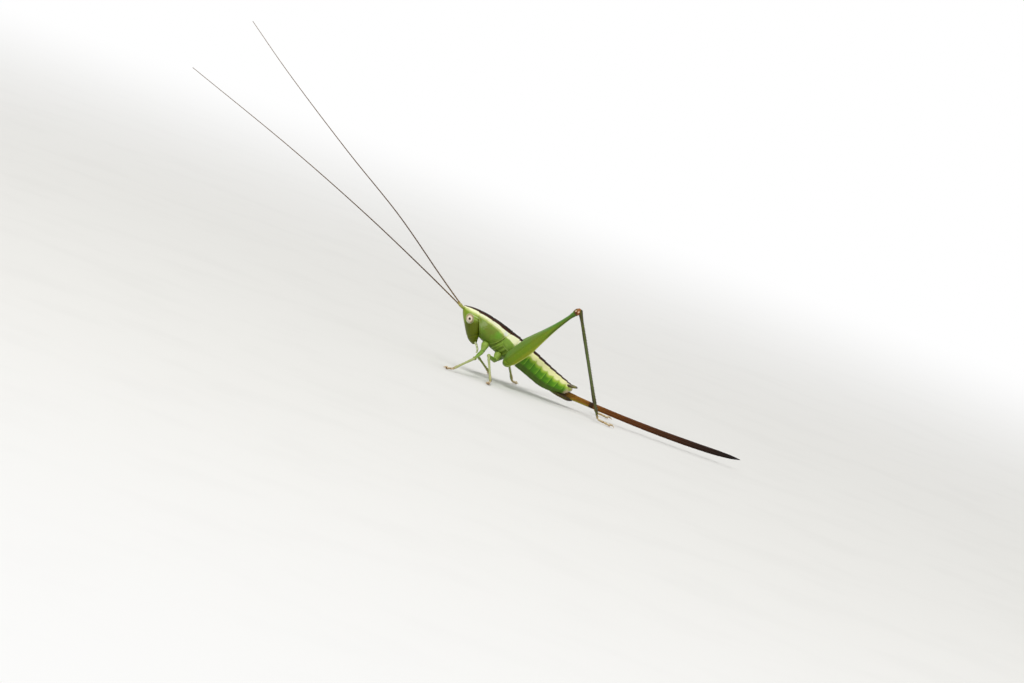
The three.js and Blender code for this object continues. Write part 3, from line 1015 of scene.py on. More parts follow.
@dataclass(frozen=True)
class TrunkForm:
    """The outline of the trunk behind the head, points on it, and its markings.

    Each row starts with the distance back from the tip of the head. The trunk's rows go on with
    the top, the bottom and half the width, the stripe's with half its width, and the cream band's
    with how far it reaches below the back. A seam's rows give a height and a distance back. An
    angle goes round the body from the middle of the back, and is positive on the right.
    """

    rows: Rows = (
        (1.2, 0.52, -1.3, 1.02), (2.3, 0.78, -1.72, 1.26), (3.6, 0.93, -1.95, 1.38),
        (4.9, 0.99, -2.08, 1.44), (6.2, 0.96, -2.14, 1.48), (7.6, 0.89, -2.12, 1.5),
        (9, 0.78, -2.08, 1.46), (10.6, 0.6, -2.14, 1.46), (12, 0.45, -2.16, 1.4),
        (13.1, 0.36, -1.92, 1.2), (14, 0.29, -1.5, 0.92), (14.7, 0.22, -1.08, 0.6),
        (15.1, 0.08, -0.7, 0.3),
    )
    stripe_rows: Rows = (
        (-0.12, 0.12), (0.4, 0.36), (1, 0.56), (1.7, 0.68), (2.6, 0.74), (4, 0.78), (5.9, 0.84),
        (6.3, 0.75), (8.3, 0.74), (11, 0.68), (13, 0.53), (14.4, 0.36), (15.1, 0.2),
    )
    cream_rows: Rows = (
        (-0.12, 0.2), (0.4, 0.32), (1, 0.46), (1.7, 0.54), (2.6, 0.58), (4, 0.68), (5.5, 0.82), (6.3, 1),
        (8, 0.98), (9.4, 0.86), (11, 0.82), (13, 0.7), (14.4, 0.5), (15.1, 0.36),
    )
    stripe_drop: float = 0.6
    least_drop: float = 0.08
    fit: float = 0.965
    arch: float = 1.08
    belly: float = 0.92
    head_seam: Rows = ((-1.8, 3.45), (0.7, 1.54))
    rear_seam: Rows = ((-1.9, 4.66), (-1.2, 5.23), (-0.45, 5.6), (0.4, 5.87), (0.98, 6))
    waist: float = 8.35

    def surface(self, x: Array, angle: Array | float, lift: Array | float = 0.0) -> Array:
        """Points of the trunk frame on the body.

        Args:
            x: distances back.
            angle: angles round the body, in radians.
            lift: how far the points stand out.

        Returns:
            The points.
        """
        x, angle = np.broadcast_arrays(np.asarray(x, float), np.asarray(angle, float))
        top, bottom, half_width = read_rows(self.rows, x)
        power = np.where(np.cos(angle) > 0, self.arch, self.belly)
        rise, spread = (np.sign(way) * np.abs(way) ** power for way in (np.cos(angle), np.sin(angle)))
        y = (half_width * self.fit + lift) * spread
        z = (top + bottom) / 2 + ((top - bottom) / 2 * self.fit + lift) * rise
        return np.stack([x, y, z], axis=-1)

    def top(self, x: Array) -> Array:
        """The height of the back."""
        return self.surface(x, 0.0)[..., 2]

    def half_width(self, x: Array) -> Array:
        """Half the body's width."""
        return read_rows(self.rows, x)[2] * self.fit

    def marked(self, points: Array, top: Array, **others: Array) -> Fields:
        """The fields of a marked surface.

        Args:
            points: its points, in the trunk frame.
            top: the height of the back over each of them.
            others: its other fields.

        Returns:
            All its fields. Stripe and cream say how far inside each marking the points lie.
        """
        along, aside, height = xyz(points)
        (half_width,), (reach,) = read_rows(self.stripe_rows, along), read_rows(self.cream_rows, along)
        lowest = self.least_drop + self.stripe_drop * half_width
        below = top - height
        stripe = np.minimum(half_width - np.abs(aside), lowest - below)
        return {"place": points, "stripe": stripe, "cream": reach - below} | others

    def where_cut(self, seam: Rows, angle: Array) -> Array:
        """Where a seam of the side view crosses the body.

        Args:
            seam: rows of height and distance back. Its ends run on in a straight line.
            angle: angles round the body.

        Returns:
            The distance back at each angle.
        """
        table = np.array(seam, float)
        ends = 2 * table[0] - table[1], 2 * table[-1] - table[-2]
        heights, stops = np.vstack([ends[0], table, ends[1]]).T
        x = np.full_like(angle, table[:, 1].mean())
        for _ in range(40):
            x = 0.5 * x + 0.5 * np.interp(self.surface(x, angle)[..., 2], heights, stops)
        return x


TRUNK = TrunkForm()


# Head


@dataclass(frozen=True)
class Head(Part):
    """The slanting head, with a cone between the feelers, face plates and jaws.

    Head rows give the distance down the face line, the reach forwards and backwards, and half
    the width. Roof rows give the distance back, the top and half the width of the arch.
    """

    crown: Spot = (0.9, 0, 0.45)
    mouth: Spot = (3.45, 0, -2.95)
    rows: Rows = (
        (-1.3, 0.7, 0.9, 0.9), (-0.6, 1, 1.2, 1.1), (0, 1.17, 1.3, 1.17), (0.6, 1.26, 1.3, 1.21),
        (1.2, 1.21, 1.3, 1.24), (1.9, 1.07, 1.2, 1.22), (2.6, 0.94, 0.95, 1.12), (3.1, 0.81, 0.68, 0.95),
        (3.6, 0.59, 0.5, 0.7), (3.95, 0.33, 0.36, 0.45), (4.15, 0.13, 0.16, 0.2),
    )
    roof: Rows = (
        (-0.12, -0.08, 0.14), (0, 0.02, 0.29), (0.25, 0.15, 0.56), (0.6, 0.31, 0.86), (1.1, 0.49, 1.1),
        (1.7, 0.66, 1.3), (2.6, 0.82, 1.45), (4.4, 0.9, 1.5),
    )
    heart: Spot = (1.55, 0, -1)
    inset: float = 0.035
    rings: int = 170
    sides: int = 208
    most_relief: float = 0.03
    line_gap: float = 0.27
    eye_centre: Spot = (1.3, 1.08, -0.76)
    eye_radii: Spot = (0.45, 0.4, 0.52)
    socket: Spot = (0.02, 0.36, -0.38)

    @property
    def down(self) -> Array:
        """The direction from the crown to the mouth."""
        return unit(np.array(self.mouth) - np.array(self.crown))

    @property
    def forward(self) -> Array:
        """The direction that the face looks in."""
        return np.array([self.down[2], 0.0, -self.down[0]])

    def on_face(self, points: Array) -> tuple[Array, Array]:
        """How far points of the trunk frame lie down and ahead of the crown."""
        return (points - np.array(self.crown)) @ self.down, (points - np.array(self.crown)) @ self.forward

    def outside(self, points: Array) -> Array:
        """How far points lie outside the head.

        Args:
            points: points of the trunk frame.

        Returns:
            The distances, less than 0 inside.
        """
        (x, y, z), (along, ahead) = xyz(points), self.on_face(points)
        front, back, half_width = read_rows(self.rows, along)
        reach = (front + back) / 2
        round_off = np.hypot((ahead - (front - back) / 2) / reach, y / half_width) - 1
        capsule = round_off * np.minimum(reach, half_width)
        top, arch = read_rows(self.roof, x)
        over = np.hypot(y, np.maximum(z - (top - arch), 0)) - arch
        tip = self.roof[0][0] - x
        ends = np.maximum(along - self.rows[-1][0], self.rows[0][0] - along)
        for other in (over, tip, ends):
            capsule = soft_higher(capsule, other, 0.12)
        (low, low_x), (high, high_x) = TRUNK.head_seam
        slope = (high_x - low_x) / (high - low)
        behind = (x - low_x - slope * (z - low)) / math.hypot(1, slope)
        return soft_higher(capsule, behind, 0.03)

    def from_eye(self, points: Array) -> Array:
        """How far points lie from the middle of the nearer eye.

        Args:
            points: points of the trunk frame.

        Returns:
            The distances, in the eye's own radii.
        """
        local = np.where([False, True, False], np.abs(points), points) - np.array(self.eye_centre)
        axes = np.stack([self.forward, ACROSS, self.down], axis=-1)
        return np.linalg.norm(local @ axes / np.array(self.eye_radii), axis=-1)

    def grooves(self, points: Array) -> Array:
        """How deep in a line between two plates points lie.

        Args:
            points: points of the trunk frame.

        Returns:
            The depths, from 0 to 1.
        """
        (along, ahead), aside = self.on_face(points), np.abs(points[..., 1])
        face, cheek = eased(ahead, 0.0, 0.35), eased(aside, 0.35, 0.6)
        brow = ridge(along - 2.72 - 0.3 * (aside / 0.7) ** 2, 0.045) * eased(0.72 - aside, 0, 0.08)
        lip = ridge(along - 3.22 + 0.12 * (aside / 0.5) ** 2, 0.04) * eased(0.52 - aside, 0, 0.06)
        lip_side = ridge(aside - 0.66 + 0.36 * eased(along, 2.75, 3.3), 0.04)
        cheek_line = ridge(aside - 0.8 + 0.16 * (along - 1.5), 0.05) * eased(along, 1.2, 1.7)
        jaw = ridge(along - 3.02 - 0.25 * (ahead + 0.2), 0.045) * (1 - eased(ahead, 0.45, 0.6))
        under_eye = ridge(ahead - 0.42 - 0.05 * (along - 1.9), 0.05) * eased(along, 1.55, 1.8)
        lines = (
            brow * face,
            lip * face,
            lip_side * face * eased(along, 2.8, 2.95),
            0.6 * cheek_line * face * (1 - eased(along, 2.6, 2.8)),
            jaw * cheek,
            0.7 * under_eye * (1 - eased(along, 2.7, 2.95)) * eased(aside, 0.5, 0.8),
        )
        return np.max(lines, axis=0)

    def relief(self, points: Array) -> Array:
        """How far the surface stands out: plates, jaws, collar, eye rims and feeler sockets.

        Args:
            points: points of the trunk frame.

        Returns:
            The heights, in millimetres.
        """
        (x, y, z), (along, ahead) = xyz(points), self.on_face(points)
        aside = np.abs(y)
        lift = -0.055 * self.grooves(points)
        lift += 0.045 * eased(ahead, 0.0, 0.35) * ridge(aside, 0.3) * ridge(along - 3.55, 0.22)
        lift += 0.05 * eased(aside, 0.35, 0.6) * ridge(along - 3.35, 0.22)
        collar = x + 0.764 * (z - 0.7) - 1.54
        lift -= 0.025 * ridge(collar + 0.3, 0.05)
        lift -= 0.05 * eased(collar, -0.16, -0.06)
        ring = self.from_eye(points)
        lift += 0.045 * ridge(ring - 1.14, 0.09)
        lift -= 0.3 * eased(1.02 - ring, 0.0, 0.14)
        back, out, up = self.socket
        away = np.sqrt((x - back) ** 2 + (aside - out) ** 2 + (z - up) ** 2)
        lift += 0.05 * ridge(away - 0.33, 0.06)
        lift -= 0.06 * eased(0.3 - away, 0, 0.08)
        lift -= 0.03 * ridge(y, 0.03) * eased(z, -0.15, 0.0) * (1 - eased(x, 0.35, 0.75))
        return lift

    def capsule(self) -> Skin:
        """The head capsule, found along lines out from a point inside it.

        Returns:
            Its skin, with the fields that the head's finish reads.
        """
        turn = (np.pi * np.linspace(0, 1, self.rings + 2)[1:-1] ** 1.45)[:, None, None]
        angle = around(self.sides)[:, None]
        ring = np.cos(angle) * self.forward + np.sin(angle) * ACROSS
        ways = np.cos(turn) * self.down + np.sin(turn) * ring
        heart = np.array(self.heart)
        near, far = np.zeros(ways.shape[:2]), np.full(ways.shape[:2], 5.0)
        for _ in range(30):
            middle = (near + far) / 2
            within = self.outside(heart + middle[..., None] * ways) < -self.inset
            near, far = np.where(within, middle, near), np.where(within, far, middle)
        relief = self.relief(heart + near[..., None] * ways)
        points = heart + (near + np.minimum(relief, self.most_relief))[..., None] * ways
        down, ahead = self.on_face(points)
        top = read_rows(self.roof, points[..., 0])[0] - self.inset
        fields = TRUNK.marked(
            points, top, down=down, ahead=ahead, edge=np.full(down.shape, 1.0),
            eye_ring=self.from_eye(points) - 1, groove=self.grooves(points),
        )
        streaks = ridge(fields["cream"] + 0.3, 0.1) + 0.7 * ridge(fields["cream"] + 0.58, 0.1)
        fields["streak"] = streaks * (1 - eased(ahead, 0.0, 0.6))
        lines = 0.5 + 0.5 * np.cos(2 * np.pi * (ahead + 0.05 * down) / self.line_gap)
        fields["line"] = lines * eased(down, 1.2, 1.7)
        return loft(from_trunk(points), fields)

    def build(self) -> None:
        """Makes the head piece."""
        finish = BodyCuticle(
            "head cuticle", ground="#7f9a26", fresh="#77ab26", low="#75901c", gloss=0.2,
            marks=(
                # Dark olive lower face: its olive colour, deepened by painted shade.
                Layer("#5e6a02", "down", 1.25, 1.85, 1.0, 0.4, 0.12),
                Layer("#4c5700", "line", 0.5, 1.0, 0.4),
                Layer("#8c9a34", "ahead", 0.85, 1.15, 0.8, 0.3, 0.05),
                # Dark olive-brown round the mouthparts: painted shadow.
                Layer("#57530f", "down", 3.0, 3.9, 0.8, 0.4, 0.12),
                Layer("#e3e8b8", "streak", 0.35, 1.15, 0.5, 0.16, 0.3),
                band("#e3e8b8", "eye_ring", 0.06, 0.14, 0.5, 0.5, 0.06),
                # The dark olive lower face again, over the streaks and eye ring: colour deepened by painted
                # shade.
                Layer("#5e6a02", "down", 1.7, 2.0, 0.8, 0.4, 0.12),
                Layer("#4c5700", "groove", 0.1, 0.9, 0.75),
            ),
        )
        self.maker.piece("head_capsule", [self.capsule()], [finish.build()], "cuticle", "head")


@dataclass(frozen=True)
class Eyes(Part):
    """The two compound eyes, each a dome of small lenses.

    The lenses are about 0.034 mm across. Real ones, of 0.02 to 0.03 mm, are too fine to show.
    """

    head: Head
    subdivisions: int = 5
    lens_height: float = 0.02
    lens_share: float = 0.72
    fit: float = 0.955

    def lens_tree(self) -> NodeTree:
        """Geometry nodes for a unit ball of lenses: cells of a fine ball, each raised.

        Returns:
            The tree.
        """
        tree, given = new_tree("lenses", Fineness="Int", Height="Float", Top="Float", Finish="Material")
        inputs = {"Radius": 1.0, "Subdivisions": given["Fineness"]}
        ball = add_node(tree, "GeometryNodeMeshIcoSphere", inputs)
        inputs = {"Mesh": add_node(tree, "GeometryNodeDualMesh", {"Mesh": ball})}
        inputs |= {"Offset Scale": given["Height"], "Individual": True}
        domes = add_node(tree, "GeometryNodeExtrudeMesh", inputs, mode="FACES")
        inputs = {"Geometry": domes, "Selection": domes.outputs["Top"], "Scale": given["Top"]}
        lenses = add_node(tree, "GeometryNodeScaleElements", inputs, domain="FACE")
        end_tree(tree, lenses, given["Finish"])
        return tree

    def build(self) -> None:
        """Makes both eyes, each from a unit ball of lenses."""
        finish = EyeCornea("eye cornea").build()
        tree = self.lens_tree()
        values = (self.subdivisions, self.lens_height, self.lens_share, finish)
        axes = np.stack([self.head.forward, ACROSS, self.head.down])
        for side in Side:
            name = f"eye_lenses_{side.label}"
            mesh = grow_mesh(name, tree, values)
            ball = get_vectors(mesh.vertices, "co")
            radii = np.array(self.head.eye_radii) * self.fit
            points = side.out(self.head.eye_centre) + ball * radii @ axes
            out = side.value * unit(ball)[:, 1]
            set_field(mesh, "gaze", np.arccos(np.clip(out, -1, 1)))
            set_field(mesh, "place", points)
            mesh.vertices.foreach_set("co", from_trunk(points).astype(np.float32).ravel())
            self.maker.piece(name, mesh, [finish], "eye", f"eye_{side.label}")


# Body rings


@dataclass(frozen=True)
class Pronotum(Part):
    """The saddle-shaped shield behind the head, with a body core under it.

    A patch gives a field's name, the distance back and the height of its middle, and its size.
    """

    low_angle: float = math.radians(149)
    corner_angle: float = math.radians(112)
    front_corner: float = 0.3
    rear_corner: float = 0.6
    lap: float = 0.06
    gap: float = 0.03
    thickness: float = 0.07
    rows: int = 110
    columns: int = 200
    core_sink: float = 0.13
    bare_sink: float = 0.03
    core_rows: int = 70
    core_sides: int = 96
    patches: tuple[tuple[str, float, float, float], ...] = (
        # The second patch, 5.5 mm back, is where a painted reflection lies.
        ("bloom", 2.9, -0.35, 0.75), ("frost", 5.5, 0.3, 0.32), ("green_patch", 4.95, -0.35, 0.6),
    )

    def shield(self) -> Skin:
        """The shield, with rounded corners, a rolled rim, cross furrows and dented side lobes.

        Returns:
            Its skin.
        """
        angle = np.linspace(-self.low_angle, self.low_angle, self.columns)[None, :]
        spread = self.low_angle - self.corner_angle
        cut = 1 - np.sqrt(1 - np.clip((np.abs(angle) - self.corner_angle) / spread, 0, 1) ** 2)
        front = TRUNK.where_cut(TRUNK.head_seam, angle) - self.lap + self.front_corner * cut
        rear = TRUNK.where_cut(TRUNK.rear_seam, angle) - self.gap - self.rear_corner * cut
        share = np.linspace(0, 1, self.rows)[:, None]
        x = front + (rear - front) * (0.6 * share + 0.2 * (1 - np.cos(np.pi * share)))
        turn = np.broadcast_to(np.abs(angle), x.shape)
        low_edge = (self.low_angle - turn) * TRUNK.half_width(x)
        edge = np.minimum(np.minimum(x - front, rear - x), low_edge)
        height = TRUNK.surface(x, angle)[..., 2]
        on_back = 1 - eased(turn, 0.9, 1.4)
        lift = 0.035 * ridge(edge - 0.06, 0.05) - 0.04 * (1 - eased(edge, 0, 0.045))
        lift -= 0.02 * ridge(edge - 0.17, 0.05)
        lift -= 0.03 * ridge(x - 3.35 - 0.25 * (turn / 0.9) ** 2, 0.09) * on_back
        lift -= 0.02 * ridge(x - 4.75, 0.12) * on_back
        lift -= 0.06 * ridge(x - 4.0 + 0.35 * height, 0.3) * ridge(height + 0.75, 0.4)
        lift += 0.02 * ridge(x - 4.9 + 0.5 * height, 0.45) * ridge(height + 0.3, 0.5)
        outer = TRUNK.surface(x, angle, lift)
        inner = TRUNK.surface(x, angle, lift - self.thickness)
        fields = TRUNK.marked(outer, TRUNK.top(x), edge=edge)
        for name, back, up, size in self.patches:
            fields[name] = ridge(np.hypot(x - back, height - up), size)
        return shell(from_trunk(outer), from_trunk(inner), fields)

    def core(self) -> Skin:
        """The neck and the underside of the first body ring, which carries the front legs.

        Returns:
            Its skin, wearing the piece's second finish.
        """
        angle = (around(self.core_sides) - np.pi)[None, :]
        x = np.linspace(1.6, 5.5, self.core_rows)[:, None] + 0 * angle
        fold = 0.03 * np.sin(2 * np.pi * x / 0.35) * (1 - eased(x, 2.6, 3.2))
        plate = 0.05 * ridge(x - 3.7, 0.5) * eased(np.abs(angle), 2.5, 2.8)
        bare = eased(np.abs(angle), self.low_angle - 0.12, self.low_angle + 0.06)
        sink = self.core_sink + (self.bare_sink - self.core_sink) * bare
        points = TRUNK.surface(x, angle, fold + plate - sink)
        points[..., 0] += 0.76 * (0.3 - points[..., 2]) * (1 - eased(x, 1.6, 3.4))
        return replace(loft(from_trunk(points), blank(points)), finish=1)

    def build(self) -> None:
        """Makes the pronotum piece."""
        shield = BodyCuticle(
            # Its rim colour is a painted highlight along the shield's free edge.
            "pronotum cuticle", ground="#74852c", fresh="#6a9420", low="#5b780f", rim="#9fb653",
            marks=(
                Layer("#5f9f1e", "green_patch", 0.3, 1.0, 0.65, 0.4, 0.3),
                Layer("#9aa873", "bloom", 0.55, 1.0, 0.6, 0.22, 0.45),
            ),
            # A bluish-white painted reflection near the rear of the shield, laid over the stripe.
            over=(Layer("#dde0d4", "frost", 0.35, 0.85, 0.75, 0.3, 0.12),),
        )
        membrane = BodyCuticle("neck membrane", ground="#7f8c3e", fresh="#93a057", low="#59651f")
        finishes = [shield.build(), membrane.build()]
        skins = [self.shield(), self.core()]
        self.maker.piece("pronotum_shield", skins, finishes, "cuticle", "pronotum")


@dataclass(frozen=True)
class Thorax(Part):
    """The two body rings behind the shield, with the plates and sutures of their sides.

    A suture gives the distance back and the height of its lower and its upper end. The field
    suture is how many millimetres off the nearest one is.
    """

    sutures: tuple[Rows, ...] = (
        ((4.9, -1.95), (5.7, -0.3)), ((5.65, -2.05), (6.3, -0.6)), ((6.2, -2.1), (7, -0.2)),
        ((7.15, -2.05), (7.75, -0.1)),
    )
    back_joints: tuple[float, ...] = (7.1, 8.28)
    under_shield: float = 0.07
    rows: int = 190
    columns: int = 220
    far: float = 9.0

    def plates(self) -> Skin:
        """The whole thorax.

        Returns:
            Its skin.
        """
        angle = (around(self.columns) - np.pi)[None, :]
        x = np.linspace(4.5, TRUNK.waist - 0.02, self.rows)[:, None] + 0 * angle
        turn = np.broadcast_to(np.abs(angle), x.shape)
        behind = x - TRUNK.where_cut(TRUNK.rear_seam, angle)
        tuck = np.where(turn > math.radians(149), 0.035, self.under_shield)
        flank = eased(turn, 1.15, 1.35) * (1 - eased(turn, 2.55, 2.8))
        spots, suture = TRUNK.surface(x, angle)[..., [0, 2]], np.full(x.shape, self.far)
        for low, high in np.array(self.sutures):
            way, spread = unit(high - low), np.linalg.norm(high - low)
            run = np.clip((spots - low) @ way, 0, spread)
            away = np.linalg.norm(spots - low - run[..., None] * way, axis=-1)
            suture = np.where(flank > 0.02, np.minimum(suture, away), self.far)
        lift = (0.025 * eased(suture, 0.05, 0.3) - 0.03 * ridge(suture, 0.05)) * flank
        lift -= tuck * (1 - eased(behind, -0.05, 0.12))
        on_back = 1 - eased(turn, 1.1, 1.3)
        edge = np.full(x.shape, 1.0)
        for joint in self.back_joints:
            before = joint - x
            lift += on_back * 0.035 * eased(before, 0.6, 0.06) * (before > 0)
            lift -= on_back * 0.05 * ridge(before + 0.03, 0.035)
            edge = np.where((before > 0) & (on_back > 0.5), np.minimum(edge, before), edge)
        lift -= 0.03 * ridge(turn - 2.75, 0.05)
        lift -= 0.1 * eased(x, TRUNK.waist - 0.12, TRUNK.waist - 0.02)
        lift -= 0.05 * ridge(turn - 1.22, 0.04) * eased(behind, 0.0, 0.2)
        points = TRUNK.surface(x, angle, lift)
        fields = TRUNK.marked(points, TRUNK.top(x), edge=edge, suture=suture)
        return loft(from_trunk(points), fields)

    def build(self) -> None:
        """Makes the thorax piece."""
        finish = BodyCuticle(
            "thorax cuticle", ground="#76982a", fresh="#84a93a", low="#5f7a14",
            marks=(
                cloud("#628018", 0.55, 0.5),
                Layer("#56690f", "suture", 0.16, 0.02, 0.7, 0.4, 0.04),
                band("#a3ba58", "suture", 0.21, 0.1, 0.35, 0.4, 0.04),
            ),
        )
        self.maker.piece("thorax_plates", [self.plates()], [finish.build()], "cuticle", "thorax")


@dataclass(frozen=True)
class WingPads(Part):
    """The leaf-shaped wing cases of a nymph, one on each side, with raised veins.

    Rows give a share of the length and half the height.
    """

    root: Spot = (5.5, 1.36, -0.25)
    tip: Spot = (7.75, 1.4, -0.85)
    rows: Rows = ((0, 0.2), (0.1, 0.38), (0.25, 0.52), (0.5, 0.55), (0.75, 0.4), (0.92, 0.2), (1, 0.03))
    fit: float = 0.95
    bulge: float = 0.21
    thickness: float = 0.09
    veins: int = 4
    cross_veins: int = 9
    shield_gap: float = 0.04
    steps: int = 90
    columns: int = 60

    def leaf(self, side: Side) -> Skin:
        """One wing pad.

        Args:
            side: the side it is on.

        Returns:
            Its skin.
        """
        root, tip = np.array(self.root), np.array(self.tip)
        share = np.linspace(0.02, 1, self.steps)[:, None]
        over = np.linspace(-1, 1, self.columns)[None, :]
        inside = 1 - np.abs(over)
        way = unit((tip - root) * (1, 0, 1))
        half = read_line(self.rows, share) * self.fit
        flat = (root + share * (tip - root))[:, None] + (half * over)[..., None] * [-way[2], 0, way[0]]
        out = self.bulge * (1 - np.abs(over) ** 2.4) * np.sqrt(np.clip(half / 0.5, 0, 1))
        out = out * (0.45 + 0.55 * eased(share, 0.0, 0.4)) + 0.02 * ridge(inside, 0.09)
        fan = np.abs(np.cos(np.pi * self.veins * (over + 0.25 * (1 - share)))) - 1
        out += 0.012 * ridge(fan, 0.12) * eased(inside, 0.03, 0.25)
        cross = np.abs(np.sin(np.pi * (share * self.cross_veins + 0.6 * over))) - 1
        out += 0.005 * ridge(cross, 0.12)
        points = side.out(flat + out[..., None] * ACROSS)
        seam = read_line(TRUNK.rear_seam, points[..., 2]) + self.shield_gap
        points[..., 0] = np.maximum(points[..., 0], seam)
        under = points - side.value * ACROSS * self.thickness
        fields = blank(points, edge=inside * half, suture=9 - 8.9 * ridge(fan, 0.1))
        return shell(from_trunk(points), from_trunk(under), fields)

    def build(self) -> None:
        """Makes both wing pads."""
        finish = BodyCuticle(
            # Its rim colour is a painted highlight along the pad's free edge.
            "wing pad cuticle", ground="#7b9c32", fresh="#8fb044", low="#6f8f2c", rim="#b8ca72",
            low_at=(-0.9, -1.6),
            marks=(
                cloud("#729434", 0.55, 0.5),
                Layer("#a5bb5e", "suture", 0.16, 0.02, 0.7, 0.4, 0.04),
                band("#a3ba58", "suture", 0.21, 0.1, 0.35, 0.4, 0.04),
            ),
        ).build()
        for side in Side:
            name, node = f"wing_case_{side.label}", f"wing_pad_{side.label}"
            self.maker.piece(name, [self.leaf(side)], [finish], "cuticle", node)


@dataclass(frozen=True)
class Abdomen(Part):
    """The ten rings of the abdomen, each back plate lapping over the next one.

    A lobe gives the middle and the radii of a soft lobe round the vent.
    """

    plate_length: float = 0.82
    plates: int = 7
    rear_joints: tuple[float, ...] = (14.53, 14.88, 15.3)
    lean: float = 0.1
    lip: float = 0.022
    front_sink: float = 0.035
    side_angle: float = math.radians(116)
    belly_angle: float = math.radians(150)
    columns: int = 180
    round_from: float = 14.6
    round_to: float = 15.0
    lobes: tuple[tuple[Spot, Spot], ...] = (
        ((14.84, 0, 0), (0.22, 0.2, 0.09)), ((14.84, 0.15, -0.3), (0.22, 0.15, 0.25)),
        ((14.84, -0.15, -0.3), (0.22, 0.15, 0.25)),
    )

    def lobe(self, centre: Spot, radii: Spot) -> Skin:
        """One of the three soft lobes round the vent.

        Args:
            centre: its middle.
            radii: its radii along the axes.

        Returns:
            Its skin.
        """
        turn = np.linspace(0, np.pi, 20)[1:-1, None]
        angle = around(32)[None, :]
        ball = [-np.cos(turn) + 0 * angle, np.sin(turn) * np.cos(angle), np.sin(turn) * np.sin(angle)]
        points = np.array(centre) + np.stack(ball, axis=-1) * np.array(radii)
        return loft(from_trunk(points), blank(points, belly=-1.0, ring=0.5))

    def plated(self) -> Skin:
        """The rings, with side pleats between the back plates and the belly plates.

        Returns:
            Their skin. Its rings of points lie closer together at the joints and at the end.
        """
        even = TRUNK.waist + self.plate_length * np.arange(self.plates + 1)
        joints, rounding = np.array([*even, *self.rear_joints]), self.round_to - self.round_from
        share = np.array([*np.linspace(0, 0.86, 16, endpoint=False), *np.linspace(0.86, 1, 14)])
        stops = (joints[:-1, None] + np.diff(joints)[:, None] * share[:-1]).ravel()
        stops = stops[(stops > TRUNK.waist + 0.02) & (stops < self.round_from)]
        end = self.round_from + rounding * np.sin(np.linspace(0, np.pi / 2, 14)[:-1])
        angle = around(self.columns) - np.pi
        x = np.concatenate([stops, end])[:, None] + 0 * angle
        turn = np.broadcast_to(np.abs(angle), x.shape)
        gap = np.clip(np.searchsorted(joints, x, side="right") - 1, 0, len(joints) - 2)
        length = joints[gap + 1] - joints[gap]
        ring = (x - joints[gap]) / length
        to_end = (1 - ring) * length
        corner = 0.16 * np.exp(-to_end / 0.14)
        low_side = (self.side_angle - turn) - corner
        on_plate = eased(low_side, 0.0, 0.05)
        on_belly = eased(turn - self.belly_angle - corner * 0.5, 0.0, 0.06)
        lapped = -self.front_sink + (self.front_sink + self.lip) * ring**1.3
        lapped -= (self.lip + self.front_sink) * eased(ring * length, length - 0.03, length)
        pleat = -0.1 + 0.025 * np.sin(np.pi * ring)
        lift = pleat + (lapped - pleat) * on_plate + (0.4 * lapped - 0.02 - pleat) * on_belly
        lift += 0.02 * ridge(low_side - 0.05, 0.04) * on_plate
        points = TRUNK.surface(x, angle, lift * eased(15.1 - x, 0.0, 0.5))
        closing = np.clip((x - self.round_from) / rounding, 0, 1)
        middle = points.mean(axis=1, keepdims=True)
        points += (np.sqrt(1 - closing**2)[..., None] - 1) * (points - middle)
        slope = (1 - np.cos(angle)) / 2
        points[..., 0] -= self.lean * slope * (1 - eased(x, 13.6, 14.6)) * eased(x, 8.4, 9.2)
        edge = np.where(on_plate > 0.4, np.minimum(to_end, 1.0), 1.0)
        belly = (turn - self.side_angle) * TRUNK.half_width(x)
        fields = TRUNK.marked(points, TRUNK.top(x), edge=edge, ring=ring, belly=belly)
        fields["cream"] += 0.16 * np.sin(np.pi * ring) - 0.08
        return loft(from_trunk(points), fields)

    def build(self) -> None:
        """Makes the abdomen piece."""
        skins = [self.plated()] + [self.lobe(*sizes) for sizes in self.lobes]
        finish = BodyCuticle(
            "abdomen cuticle", ground="#4f8a08", fresh="#5c9c0c", low="#3f680c",
            # Its rim colour is a painted highlight along the back plates' rear edges.
            low_at=(-1.1, -1.7), rim="#8cc03a", cream="#f1f0ae", cream_edge="#a9c53a",
            cream_at=(-0.34, 0.24), glow=0.12,
            marks=(
                Layer("#46750c", "ring", 0.42, 0.0, 0.75, 0.3, 0.1),
                Layer("#86b92c", "ring", 0.6, 0.95, 0.3, 0.3, 0.1),
                Layer("#4c6614", "belly", -0.15, 0.15, 0.8),
                Layer("#cdb99a", "X", 14.25, 14.6, 0.85, 0.3, 0.1),
            ),
        )
        self.maker.piece("abdomen_rings", skins, [finish.build()], "cuticle", "abdomen")


# Tail


